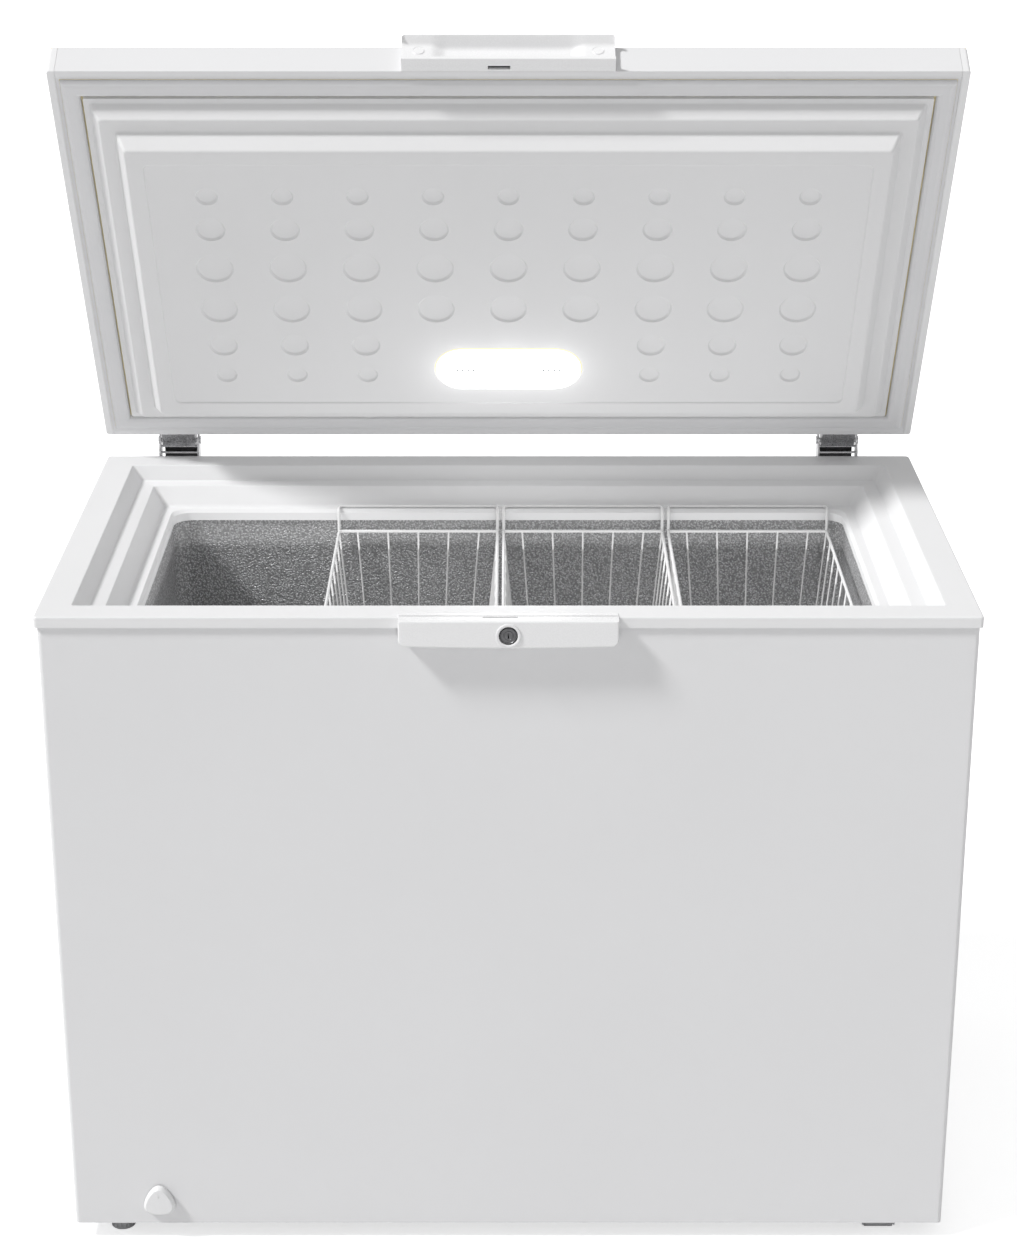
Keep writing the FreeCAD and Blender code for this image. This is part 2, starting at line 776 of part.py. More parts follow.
def vent_grille():
    x0 = half_width - shell_sheet
    plug = box(x0, half_width, vent_front, vent_back, vent_low, vent_high)
    flange = box(half_width, half_width + 1.5, vent_front - 6, vent_back + 6, vent_low - 6, vent_high + 6)
    grille = fuse([plug, flange])
    pitch = (vent_high - vent_low) / vent_slots
    for i in range(vent_slots):
        z = vent_low + pitch * (i + 0.5)
        grille = grille.cut(box(x0 - 1, half_width + 3, vent_front + 12, vent_back - 12, z - 3.5, z + 3.5))
    add("cabinet", "vent_grille", grille)


# ---------------------------------------------------------------- drain
def dial_outline(y):
    """A rounded three-sided outline, point up, whose sides bow outwards; its corners and the middles
    of its sides are shares of its half width and of its height."""
    places = {"top": (0, 0.56), "left": (-1, -0.28), "right": (1, -0.28), "bow_left": (-0.86, 0.24),
              "bow_right": (0.86, 0.24), "bow_low": (0, -0.44)}
    half = dial_width / 2
    at = {name: V(drain_x + a * half, y, drain_z + b * dial_height) for name, (a, b) in places.items()}
    edges = [Part.Arc(at["left"], at["bow_left"], at["top"]).toShape(),
             Part.Arc(at["top"], at["bow_right"], at["right"]).toShape(),
             Part.Arc(at["right"], at["bow_low"], at["left"]).toShape()]
    return Part.Wire(edges)


def drain():
    sleeve_end = sleeve_length
    sleeve = tube(sleeve_radius, sleeve_radius - sleeve_wall, (drain_x, 0, drain_z),
                  (drain_x, sleeve_end, drain_z))
    flange = tube(sleeve_radius + 1.5, sleeve_radius - sleeve_wall, (drain_x, -1, drain_z),
                  (drain_x, 0, drain_z))
    end = tube(sleeve_radius, drain_pipe_bore, (drain_x, sleeve_end, drain_z),
               (drain_x, sleeve_end + 2, drain_z))
    sleeve = fuse([sleeve, flange, end])
    path = [(drain_x, sleeve_end + 2, drain_z), (drain_x, sleeve_end + 32, drain_z),
            (drain_inlet_x, drain_inlet_y, drain_z), (drain_inlet_x, drain_inlet_y, liner_floor)]
    outside = pipe(path, 12.0, drain_pipe_radius)
    hose = outside.cut(pipe(path, 12.0, drain_pipe_bore))
    cut_nodes(["cabinet_foam"], outside)
    cut_nodes(["cabinet_foam"], rod(sleeve_radius, (drain_x, 0, drain_z), (drain_x, sleeve_end + 2, drain_z)))
    add("cabinet", "drain_sleeve", sleeve)
    add("cabinet", "drain_hose", hose)
    ring_y = turn_ring_y
    turn_ring = tube(sleeve_radius - sleeve_wall - running_clearance, dial_tube_radius + running_clearance,
                     (drain_x, ring_y, drain_z), (drain_x, ring_y + 6, drain_z))
    key = box(drain_x - 1.2, drain_x + 1.2, ring_y - 1, ring_y + 7, drain_z + dial_tube_radius - 1,
              drain_z + dial_tube_radius + 1.6)
    add("drain_turn_ring", "drain_turn_ring", turn_ring.cut(key))
    head = Part.Face(dial_outline(-dial_front)).extrude(V(0, dial_front - dial_gap, 0))
    face_edges = [e for e in head.Edges if abs(e.CenterOfMass.y + dial_front) < 0.01]
    head = head.makeChamfer(dial_chamfer, face_edges)
    add("drain_dial", "drain_dial", head)
    spout = rod(dial_tube_radius, (drain_x, -dial_gap, drain_z), (drain_x, spout_end, drain_z))
    spine = box(drain_x - 1.0, drain_x + 1.0, 4, spout_end - 2, drain_z + dial_tube_radius - 1,
                drain_z + dial_tube_radius + 1.3)
    bore = rod(dial_tube_radius - spout_wall, (drain_x, spout_wall, drain_z),
               (drain_x, spout_end + 1, drain_z))
    mouth = rod(4.0, (drain_x, 8, drain_z), (drain_x, 8, drain_z - 20))
    add("drain_dial", "drain_spout", fuse([spout, spine]).cut(bore).cut(mouth))
    x = drain_inlet_x
    y = drain_inlet_y
    top = liner_floor + stopper_height
    cap = rod(stopper_radius, (x, y, liner_floor + basket_seat_gap), (x, y, top))
    stem = rod(drain_pipe_bore - 0.3, (x, y, liner_floor - stopper_stem), (x, y, top))
    tab = box(x - 7, x + 7, y - 1.2, y + 1.2, top - 1, top + 8)
    add("drain_stopper", "drain_stopper", fuse([cap, stem, tab]))


# ---------------------------------------------------------------- feet and rollers
def feet():
    sockets = []
    for name, y in (("front", foot_setback), ("rear", cabinet_depth - foot_setback)):
        pad = rod(foot_radius, (foot_x, y, 0), (foot_x, y, foot_height))
        for i in range(foot_ribs):
            a = 2 * math.pi * i / foot_ribs
            x = foot_x + foot_radius * math.cos(a)
            pad = pad.cut(rod(1.2, (x, y + foot_radius * math.sin(a), 3),
                              (x, y + foot_radius * math.sin(a), foot_height + 1)))
        stud = rod(foot_stud_radius, (foot_x, y, foot_height - 1), (foot_x, y, cabinet_bottom - 0.4))
        add("levelling_foot_" + name, "levelling_foot_" + name, fuse([pad, stud]))
        sockets.append(tube(foot_socket_radius, foot_stud_radius + running_clearance,
                            (foot_x, y, foot_height + 1.5), (foot_x, y, cabinet_bottom)))
    add("cabinet", "foot_sockets", Part.makeCompound(sockets))


def rollers():
    brackets = []
    axles = []
    half = roller_width / 2
    for name, y in (("front", roller_setback), ("rear", cabinet_depth - roller_setback)):
        wheel = rod(roller_radius, (roller_x - half, y, roller_radius), (roller_x + half, y, roller_radius))
        rims = [e for e in wheel.Edges if abs(e.Length - 2 * math.pi * roller_radius) < 0.1]
        wheel = wheel.makeFillet(1.0, rims)
        bore = rod(roller_axle_radius + running_clearance, (roller_x - half - 1, y, roller_radius),
                   (roller_x + half + 1, y, roller_radius))
        add("roller_" + name, "roller_" + name, wheel.cut(bore))
        plate = box(roller_bracket_left, roller_bracket_right, y - 12, y + 14, cabinet_bottom - 1.5,
                    cabinet_bottom)
        pieces = [plate]
        for x in (roller_x - half - 2.5, roller_x + half + 0.5):
            pieces.append(box(x, x + 2, y - 8, y + 8, roller_radius - 5, cabinet_bottom - 1.5))
        bracket = fuse(pieces)
        axle = rod(roller_axle_radius, (roller_x - half - 3.5, y, roller_radius),
                   (roller_x + half + 3.5, y, roller_radius))
        brackets.append(bracket.cut(axle))
        axles.append(axle)
    add("cabinet", "roller_brackets", Part.makeCompound(brackets))
    add("cabinet", "roller_axles", Part.makeCompound(axles))


# ---------------------------------------------------------------- lock on the cabinet
def lock():
    half = handle_width / 2
    top = rim_top + housing_flange
    outer = box(-half, half, -housing_depth, 0, housing_low, top)
    low_edges = [e for e in outer.Edges
                 if abs(e.CenterOfMass.z - housing_low) < 0.01 and abs(abs(e.CenterOfMass.x) - half) < 0.01]
    outer = outer.makeFillet(housing_corner_radius, low_edges)
    hollow = box(-half + housing_wall, half - housing_wall, -housing_depth + housing_wall, 1,
                 housing_low + housing_wall, rim_top)
    low_edges = [e for e in hollow.Edges if abs(e.CenterOfMass.z - housing_low - housing_wall) < 0.01
                 and abs(abs(e.CenterOfMass.x) - half + housing_wall) < 0.01]
    hollow = hollow.makeFillet(housing_corner_radius - housing_wall, low_edges)
    rim_space = box(-half - 1, half + 1, rim_front, 1, shell_top, rim_top)
    flange = box(-half, half, rim_front, housing_flange_reach, rim_top, top)
    housing = fuse([outer.cut(hollow).cut(rim_space), flange])
    slot = box(slot_left, slot_right, -cam_front - 0.5, -cam_front + cam_sheet + 0.5, rim_top - 1, top + 1)
    sleeve_hole = rod(lock_plug_radius + 2, (0, -housing_depth - 1, lock_z), (0, -housing_depth + 4, lock_z))
    add("cabinet", "lock_housing", housing.cut(slot).cut(sleeve_hole))
    barrel = rod(lock_plug_radius + 2, (0, -housing_depth, lock_z), (0, -cam_front - 1.0, lock_z))
    bezel = rod(lock_bezel_radius, (0, -housing_depth - 1.5, lock_z), (0, -housing_depth, lock_z))
    bore = rod(lock_plug_radius + running_clearance, (0, -housing_depth - 3, lock_z), (0, 0, lock_z))
    add("cabinet", "lock_barrel", fuse([barrel, bezel]).cut(bore))
    plug = rod(lock_plug_radius, (0, -housing_depth - 0.8, lock_z), (0, -cam_front, lock_z))
    keyway = box(-0.9, 0.9, -housing_depth - 2, -housing_depth + 8, lock_z - 3.5, lock_z + 3.5)
    ward = box(-2.2, 2.2, -housing_depth - 2, -housing_depth + 8, lock_z - 1.0, lock_z + 1.0)
    add("lock", "lock_plug", plug.cut(keyway).cut(ward))
    add("lock", "lock_cam", cam())


def cam():
    """Hook plate: a disc on the plug, a stem pointing left, and a curved nose leading the turn."""
    y0 = -cam_front
    y1 = y0 + cam_sheet
    disc = rod(8.0, (0, y0, lock_z), (0, y1, lock_z))
    stem = box(-cam_hook_radius - 0.5, 0, y0, y1, lock_z - 6.5, lock_z + 1.0)
    outer = rod(cam_reach, (0, y0, lock_z), (0, y1, lock_z))
    inner = rod(cam_hook_radius, (0, y0 - 1, lock_z), (0, y1 + 1, lock_z))
    angles = [math.radians(a) for a in (180 + 14, 180 - 18)]
    far = 2 * cam_reach
    wedge = prism([(0, y0, lock_z)] + [(far * math.cos(a), y0, lock_z + far * math.sin(a)) for a in angles],
                  (0, cam_sheet, 0))
    return fuse([disc, stem, outer.cut(inner).common(wedge)])


# ---------------------------------------------------------------- lid, built shut
def lid_section_solid():
    """Skirt, lip and sloping band round the lid, with its flat top."""
    t = lid_sheet
    section = [(0.0, 0.0), (lid_lip, 0.0), (lid_band, lid_band_rise), (lid_band, lid_band_rise + t),
               (lid_lip, t), (t, t), (t, lid_height - t), (0.0, lid_height - t)]
    levels = [(lid_rectangle(a), lip_z + b) for a, b in section]
    x0, x1, y0, y1 = lid_rectangle(0.0)
    top = box(x0, x1, y0, y1, lip_z + lid_height - t, lip_z + lid_height)
    return fuse([ring(levels), top])


def lid_liner_section():
    return [(lid_flange_in, lid_flange_drop), (lid_flange_out, lid_flange_drop),
            (lid_step_in, lid_step_drop), (lid_step_out, lid_step_drop), (lid_plug_in, lid_plug_drop)]


def dimple_places():
    for share, radius, short in dimple_rows:
        for column in range(-4, 5):
            if not (short and abs(column) < 2):
                yield column * dimple_pitch, share * panel_half_depth, radius


def lid_liner_shapes():
    """The stepped liner of the lid, and the volume behind it that the foam fills."""
    middle = lid_front + lid_depth / 2
    visible = lid_liner_section()
    wall = lid_liner_wall
    moved = offset_line([(a, -b) for a, b in visible], wall)
    hidden = [(a, -b) for a, b in moved]
    flange_back = lid_flange_drop - wall
    bottom = lip_z - lid_plug_drop
    first = [(lid_rectangle(lid_flange_in), lip_z - flange_back)]
    outer = stepped(first + [(lid_rectangle(a), lip_z - b) for a, b in visible])
    behind = [(lid_rectangle(a), lip_z - b) for a, b in hidden[1:-1]]
    behind.append((lid_rectangle(hidden[-1][0]), bottom + wall))
    inner = stepped(behind)
    x0, x1, y0, y1 = lid_rectangle(lid_panel_in)
    recess = box(x0, x1, y0, y1, bottom - 1, bottom + lid_panel_recess)
    backing = box(x0 - wall, x1 + wall, y0 - wall, y1 + wall, bottom + wall / 2,
                  bottom + wall + lid_panel_recess)
    panel = bottom + lid_panel_recess
    cups = []
    dents = []
    for x, row, radius in dimple_places():
        y = middle - row
        cups.append(rod(radius + wall, (x, y, panel), (x, y, panel + dimple_depth + wall)))
        dents.append(rod(radius, (x, y, panel - 3), (x, y, panel + dimple_depth)))
    lamp_y = middle + lamp_back
    hole = stadium(lamp_length - 2 * lamp_flange, lamp_width - 2 * lamp_flange, 0, lamp_y, bottom - 1, 60)
    shell = fuse([outer.cut(inner), backing] + cups)
    shell = shell.cut(recess).cut(Part.makeCompound(dents)).cut(hole)
    filling = inner.cut(backing).cut(Part.makeCompound(cups)).cut(hole)
    return shell, filling, panel, lamp_y


def lid():
    skin = lid_section_solid()
    edge = lid_half - lid_end_trim
    big = 2 * cabinet_width
    add("lid", "lid_panel", skin.common(box(-edge, edge, -big, big, 0, big)))
    add("lid", "lid_end_trim_left", skin.common(box(-big, -edge, -big, big, 0, big)))
    add("lid", "lid_end_trim_right", skin.common(box(edge, big, -big, big, 0, big)))
    shell, filling, panel, lamp_y = lid_liner_shapes()
    add("lid", "lid_liner", shell)
    t = lid_sheet
    base = lip_z + lid_band_rise
    x0, x1, y0, y1 = lid_rectangle(t)
    room = box(x0, x1, y0, y1, base + t, lip_z + lid_height - t)
    x0, x1, y0, y1 = lid_rectangle(lid_band)
    room = room.fuse(box(x0, x1, y0, y1, base, base + t))
    x0, x1, y0, y1 = lid_rectangle(lid_flange_in)
    room = room.fuse(box(x0, x1, y0, y1, lip_z - lid_flange_drop + lid_liner_wall, base))
    hole = stadium(lamp_length - 2 * lamp_flange, lamp_width - 2 * lamp_flange, 0, lamp_y,
                   panel - 5, lamp_depth + 5)
    add("lid", "lid_foam", fuse([room, filling]).cut(hole))
    gasket = [(lid_band, base), (gasket_out, base), (gasket_out, lip_z - 1.5),
              (gasket_out - 4.5, lip_z - 0.87 * gasket_crown),
              ((lid_band + gasket_out) / 2, lip_z - gasket_crown),
              (lid_band + 4.5, lip_z - 0.87 * gasket_crown), (lid_band, lip_z - 1.5)]
    add("lid", "lid_gasket", ring([(lid_rectangle(a), z) for a, z in gasket]))
    lamp(panel, lamp_y)


def lamp(panel, lamp_y):
    """Cup let into the foam, board on its floor, and a lens that caps it against the liner."""
    length = lamp_length - 2 * lamp_flange
    width = lamp_width - 2 * lamp_flange
    cup = stadium(length, width, 0, lamp_y, panel, lamp_depth)
    room = stadium(length - 2 * lamp_wall, width - 2 * lamp_wall, 0, lamp_y, panel - 1,
                   lamp_depth - lamp_wall + 1)
    add("lid", "lamp_housing", cup.cut(room))
    top = panel + lamp_depth - lamp_wall
    board = [box(-70, 70, lamp_y - 18, lamp_y + 18, top - 1.6, top)]
    for i in range(6):
        x = -55 + 22 * i
        board.append(box(x - 2.5, x + 2.5, lamp_y - 2.5, lamp_y + 2.5, top - 2.8, top - 1.6))
    add("lid", "lamp_board", fuse(board))
    lens = stadium(lamp_length, lamp_width, 0, lamp_y, panel - lamp_lens_height, lamp_lens_height)
    for side in (-1, 1):
        for i in range(4):
            x = side * lamp_vent_x + (i - 1.5) * lamp_vent_pitch
            lens = lens.cut(rod(lamp_vent_radius, (x, lamp_y, panel - 10), (x, lamp_y, panel + 1)))
    add("lid", "lamp_lens", lens)


def lid_handle():
    half = handle_width / 2
    back = lid_front
    front = back - handle_depth
    boss = front + handle_boss_depth
    floor = front + handle_pocket_depth
    z = lip_z
    top = z + lid_height
    section = [(back, z), (front, z), (front, z + handle_flange), (boss, z + handle_flange + 0.5),
               (boss, z + handle_slope_low), (front, top - 1.0), (front, top), (back, top)]
    bar = prism([(-half, y, h) for y, h in section], (handle_width, 0, 0))
    z0 = z + handle_flange + 0.5
    pocket = prism([(-pocket_half_out, boss - 1, z0), (pocket_half_out, boss - 1, z0),
                    (pocket_half_out, boss, z0), (pocket_half_in, floor, z0),
                    (-pocket_half_in, floor, z0), (-pocket_half_out, boss, z0)],
                   (0, 0, handle_slope_low - handle_flange - 0.5))
    y0 = -cam_front - 1.8
    y1 = -cam_front + cam_sheet + 1.6
    relief = box(catch_left - 2, catch_right + 14, y0, y1, z + 2, z0 + 3)
    slot = box(catch_left, catch_right, y0, y1, z - 1, z + 3)
    bar = bar.cut(pocket).cut(relief).cut(slot)
    caps = []
    screws = []
    for side in (-1, 1):
        x = side * cap_x
        height = z + cap_height
        seat = rod(cap_radius, (x, boss, height), (x, boss + 1.5, height))
        head = rod(4.5, (x, boss + 1.5, height), (x, boss + 4.0, height))
        shank = rod(2.2, (x, boss + 4.0, height), (x, back + 12, height))
        bar = bar.cut(seat).cut(head).cut(shank)
        cut_nodes(["lid_panel", "lid_foam"], shank)
        caps.append(rod(cap_radius, (x, boss - 0.4, height), (x, boss + 1.5, height)))
        screws.append(fuse([head, shank]))
    add("lid", "lid_handle", bar)
    add("lid", "handle_caps", Part.makeCompound(caps))
    return screws


# ---------------------------------------------------------------- hinges
def hinge_bracket(x):
    """Fixed bracket: a web on the back panel between two ears that carry the pin."""
    half = bracket_width / 2
    y0 = cabinet_depth
    step = rim_back + 2.0
    ears = []
    outline = [(y0, bracket_low), (hinge_y - 4, bracket_low), (hinge_y + 8, bracket_low + 30),
               (hinge_y + 8, hinge_z), (hinge_y - 8, hinge_z), (step, rim_top + 5),
               (step, shell_top - 1), (y0, shell_top - 1)]
    for side in (-1, 1):
        x0 = x + side * half - (bracket_sheet if side > 0 else 0)
        plate = prism([(x0, y, z) for y, z in outline], (bracket_sheet, 0, 0))
        crown = rod(8.0, (x0, hinge_y, hinge_z), (x0 + bracket_sheet, hinge_y, hinge_z))
        ears += [plate, crown]
    web = box(x - half, x + half, y0, y0 + bracket_sheet, bracket_low, shell_top - 1)
    return fuse([web] + ears)


def hinge_pin(x):
    half = bracket_width / 2
    pin = rod(hinge_pin_radius, (x - half - 1.5, hinge_y, hinge_z), (x + half + 1.5, hinge_y, hinge_z))
    heads = [rod(5.0, (x + s * half, hinge_y, hinge_z), (x + s * (half + 1.5), hinge_y, hinge_z))
             for s in (-1, 1)]
    return fuse([pin] + heads)


def hinge_tie(x, y, z, radius):
    half = bracket_width / 2
    return rod(radius, (x - half, y, z), (x + half, y, z))


def hinge_arm(x):
    """Lid side of the hinge: a channel, its web under the pin and its plate on the lid's back."""
    half = arm_width / 2
    y0 = lid_back
    low = hinge_z - 9.3
    high = lip_z + lid_height - 3.4
    outline = [(y0, low), (hinge_y + 2, low), (hinge_y + 7, hinge_z - 5), (hinge_y + 9, hinge_z),
               (hinge_y, hinge_z + 9), (y0 + arm_sheet, high - 5), (y0, high - 5)]
    pieces = [box(x - half, x + half, y0, y0 + arm_sheet, low, high),
              box(x - half, x + half, y0, hinge_y + 2, low, low + arm_sheet)]
    for side in (-1, 1):
        x0 = x + side * half - (arm_sheet if side > 0 else 0)
        pieces.append(prism([(x0, y, z) for y, z in outline], (arm_sheet, 0, 0)))
    bore = rod(hinge_pin_radius + running_clearance, (x - half - 1, hinge_y, hinge_z),
               (x + half + 1, hinge_y, hinge_z))
    return fuse(pieces).cut(bore)


def hinges():
    pins = []
    springs = []
    cabinet_screws = []
    lid_screws = []
    for name, x in (("left", -hinge_x), ("right", hinge_x)):
        bracket = hinge_bracket(x)
        arm = hinge_arm(x)
        pin = hinge_pin(x)
        ties = [hinge_tie(x, hinge_y + 5.0, hinge_z - 9.6, 1.5), hinge_tie(x, hinge_y + 6.0, hinge_z - 18, 1.5)]
        pins += [pin] + ties
        for piece in [pin] + ties:
            bracket = bracket.cut(piece)
        springs.append(tube(spring_radius, hinge_pin_radius + 0.3, (x - spring_half, hinge_y, hinge_z),
                            (x + spring_half, hinge_y, hinge_z)))
        for z in (bracket_low + 16, bracket_low + 46, bracket_low + 76):
            y1 = cabinet_depth + bracket_sheet
            head = rod(5.0, (x, y1, z), (x, y1 + 2.5, z))
            shank = rod(2.4, (x, y1 - 12, z), (x, y1, z))
            bracket = bracket.cut(shank)
            cut_nodes(["back_panel", "cabinet_foam"], shank)
            cabinet_screws.append(fuse([head, shank]))
        for dx in (-10, 10):
            z = lip_z + lid_height - 15
            y1 = lid_back + arm_sheet
            head = rod(4.5, (x + dx, y1, z), (x + dx, y1 + 2.2, z))
            shank = rod(2.2, (x + dx, y1 - 14, z), (x + dx, y1, z))
            arm = arm.cut(shank)
            cut_nodes(["lid_panel", "lid_foam"], shank)
            lid_screws.append(fuse([head, shank]))
        add("cabinet", "hinge_bracket_" + name, bracket)
        add("lid", "hinge_arm_" + name, arm)
    add("cabinet", "hinge_pins", Part.makeCompound(pins))
    add("cabinet", "hinge_springs", Part.makeCompound(springs))
    return cabinet_screws, lid_screws


# ---------------------------------------------------------------- baskets
def bar(start, end, size):
    """A square wire between two points; it stays square to the Z axis or the X axis."""
    a = V(*start)
    b = V(*end)
    run = b - a
    side = V(0, 0, 1) if abs(run.z) < 0.5 * run.Length else V(1, 0, 0)
    u = run.cross(side).normalize() * (size / 2)
    v = run.cross(u).normalize() * (size / 2)
    corners = [a + u + v, a - u + v, a - u - v, a + u - v]
    return Part.Face(Part.makePolygon(corners + corners[:1])).extrude(run)


def basket(left):
    """A welded wire basket as flat wire grids and bars that meet edge to edge.

    The top frame is four bars; four tapering walls and a floor hang below it; at the front and the
    back a hanger rises from the frame's corners and reaches over the collar's lip to its ledge.
    """
    w = basket_wire
    t = basket_thin_wire
    x0 = left + w / 2
    x1 = left + basket_width - w / 2
    y0 = rim_front + rim_lip_in + basket_wall_gap
    y1 = rim_back - rim_lip_in - basket_wall_gap
    top = rim_top - basket_frame_drop
    under = top - w / 2
    low = top - basket_depth
    shrink = basket_taper * (under - low)
    xm = (x0 + x1) / 2
    ym = (y0 + y1) / 2
    hoop_levels = [under - t / 2 - (under - low - t / 2) * i / basket_hoops for i in range(basket_hoops + 1)]
    solids = [box(x0 - w / 2, x1 + w / 2, y - w / 2, y + w / 2, top - w / 2, top + w / 2) for y in (y0, y1)]
    solids += [box(x - w / 2, x + w / 2, y0 + w / 2, y1 - w / 2, top - w / 2, top + w / 2) for x in (x0, x1)]
    below = box(x0 - 50, x1 + 50, y0 - 50, y1 + 50, low, under)

    end_walls = []
    for y, sign in ((y0, 1), (y1, -1)):
        reach = (basket_bars - 1) / 2
        places = [x0] + [xm + (i - reach) * basket_bar_pitch for i in range(basket_bars)] + [x1]
        wires = []
        for x in places:
            squeeze = (x - xm) / (x1 - xm) * shrink
            wires.append(bar((x, y - sign * 0.1, under + 1), (x - squeeze, y + sign * shrink, low), t))
        for z in hoop_levels:
            drop = shrink * (under - z) / (under - low)
            wires.append(bar((x0 + drop, y + sign * drop, z), (x1 - drop, y + sign * drop, z), t))
        end_walls.append(fuse(wires).common(below))

    side_walls = []
    for x, sign in ((x0, 1), (x1, -1)):
        wires = []
        for i in range(1, basket_side_bars + 1):
            y = y0 + (y1 - y0) * i / (basket_side_bars + 1)
            squeeze = (y - ym) / (y1 - ym) * shrink
            wires.append(bar((x - sign * 0.1, y, under + 1), (x + sign * shrink, y - squeeze, low), t))
        for z in hoop_levels:
            drop = shrink * (under - z) / (under - low)
            wires.append(bar((x + sign * drop, y0 + drop, z), (x + sign * drop, y1 - drop, z), t))
        wall = fuse(wires).common(below)
        for end in end_walls:
            wall = wall.cut(end)
        side_walls.append(max(wall.Solids, key=lambda piece: piece.Volume))

    floor = []
    for i in range(basket_floor_bars):
        x = x0 + shrink + (x1 - x0 - 2 * shrink) * i / (basket_floor_bars - 1)
        floor.append(box(x - t / 2, x + t / 2, y0 + shrink - t / 2, y1 - shrink + t / 2, low - t, low))
    for i in range(basket_floor_bars):
        y = y0 + shrink + (y1 - y0 - 2 * shrink) * i / (basket_floor_bars - 1)
        floor.append(box(x0 + shrink - t / 2, x1 - shrink + t / 2, y - t / 2, y + t / 2, low - t, low))

    seat = rim_top - rim_ledge_drop + basket_seat_gap + w / 2
    ledge_middle = (rim_ledge_in + rim_ledge_out) / 2
    for y, over in ((y0, rim_front + ledge_middle), (y1, rim_back - ledge_middle)):
        toward = 1 if over > y else -1
        solids.append(box(x0 - w / 2, x1 + w / 2, over - w / 2, over + w / 2, seat - w / 2, seat + w / 2))
        near, far = sorted((y - toward * w / 2, over - toward * w / 2))
        for x in (x0, x1):
            reach_bar = box(x - w / 2, x + w / 2, near, far, seat - w / 2, seat + w / 2)
            drop_bar = box(x - w / 2, x + w / 2, y - w / 2, y + w / 2, top + w / 2, seat + w / 2)
            solids.append(fuse([reach_bar, drop_bar]))
    return solids + end_walls + side_walls + [fuse(floor)]


def baskets():
    for name, left in zip(("left", "middle", "right"), basket_lefts):
        pieces = []
        for shape in basket(left):
            pieces += shape.Solids
        add("basket_" + name, "basket_" + name, Part.makeCompound(pieces))


# ---------------------------------------------------------------- the whole freezer
def build():
    outer_wrapper()
    back_panel()
    base_pan()
    inner_liner()
    rim_collar()
    cabinet_foam()
    evaporator = evaporator_coil()
    condenser = condenser_coil()
    stub_top = compressor()
    bay_tubes(stub_top, evaporator, condenser)
    screws = rear_cover()
    thermostat()
    vent_grille()
    drain()
    feet()
    rollers()
    lock()
    lid()
    handle_screws = lid_handle()
    bracket_screws, arm_screws = hinges()
    add("cabinet", "cabinet_screws", Part.makeCompound(screws + bracket_screws))
    add("lid", "lid_screws", Part.makeCompound(handle_screws + arm_screws))
    baskets()


def open_lid():
    """Swing every piece of the lid about the hinge axis."""
    for name, body in bodies.items():
        if body == "lid":
            nodes[name] = nodes[name].copy()
            nodes[name].rotate(V(0, hinge_y, hinge_z), V(1, 0, 0), -lid_open_angle)


def middle_of(shapes):
    low = min(s.BoundBox.YMin for s in shapes)
    high = max(s.BoundBox.YMax for s in shapes)
    return (low + high) / 2


build()
open_lid()
shift_y = -middle_of(nodes.values())
os.makedirs("parts", exist_ok=True)
for name, shape in nodes.items():
    placed = shape.copy()
    placed.translate(V(0, shift_y, 0))
    placed.exportStep(os.path.join("parts", name + ".step"))
print("nodes", len(nodes), "shift_y", round(shift_y, 4))
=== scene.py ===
import json
import math

import bmesh
import bpy
import numpy as np
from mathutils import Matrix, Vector

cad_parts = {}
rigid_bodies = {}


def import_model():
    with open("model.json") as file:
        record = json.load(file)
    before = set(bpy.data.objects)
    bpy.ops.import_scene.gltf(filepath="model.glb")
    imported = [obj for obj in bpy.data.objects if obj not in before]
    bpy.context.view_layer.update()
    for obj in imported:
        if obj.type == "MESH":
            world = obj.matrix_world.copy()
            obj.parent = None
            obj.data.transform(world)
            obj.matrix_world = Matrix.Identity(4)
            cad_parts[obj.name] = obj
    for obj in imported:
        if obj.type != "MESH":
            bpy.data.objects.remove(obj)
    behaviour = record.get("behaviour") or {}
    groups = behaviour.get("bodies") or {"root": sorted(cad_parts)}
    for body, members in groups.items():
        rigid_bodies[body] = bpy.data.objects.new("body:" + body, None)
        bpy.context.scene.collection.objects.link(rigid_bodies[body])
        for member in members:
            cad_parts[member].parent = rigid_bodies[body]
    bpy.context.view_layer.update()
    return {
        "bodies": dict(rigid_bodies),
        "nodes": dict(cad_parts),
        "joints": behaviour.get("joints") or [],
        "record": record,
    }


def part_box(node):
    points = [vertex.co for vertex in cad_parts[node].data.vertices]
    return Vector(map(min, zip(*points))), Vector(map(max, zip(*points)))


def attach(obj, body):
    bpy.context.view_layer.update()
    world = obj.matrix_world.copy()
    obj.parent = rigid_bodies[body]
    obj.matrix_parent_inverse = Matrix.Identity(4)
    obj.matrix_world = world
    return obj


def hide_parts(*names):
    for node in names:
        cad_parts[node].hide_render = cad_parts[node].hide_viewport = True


# Looks of a chest freezer whose lid stands open. Metres, +X to the right of a person who faces the
# freezer, +Y towards its back, +Z up. Lid pieces are worked out with the lid shut and then swung
# about the hinge axis to where the frame holds them.

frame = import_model()

# ---------------------------------------------------------------- places read from the frame
JOINTS = {joint["name"]: joint for joint in frame["joints"]}
HINGE = np.array(JOINTS["lid_hinge"]["pos_m"])
OPEN_ANGLE = -math.radians(JOINTS["lid_hinge"]["range_deg"][0])


def swing(points, angle=OPEN_ANGLE):
    """Points turned about the hinge axis: (y, z) rotate by the angle round the hinge."""
    points = np.array(points, float)
    dy = points[..., 1] - HINGE[1]
    dz = points[..., 2] - HINGE[2]
    points[..., 1] = HINGE[1] + dy * math.cos(angle) + dz * math.sin(angle)
    points[..., 2] = HINGE[2] - dy * math.sin(angle) + dz * math.cos(angle)
    return points


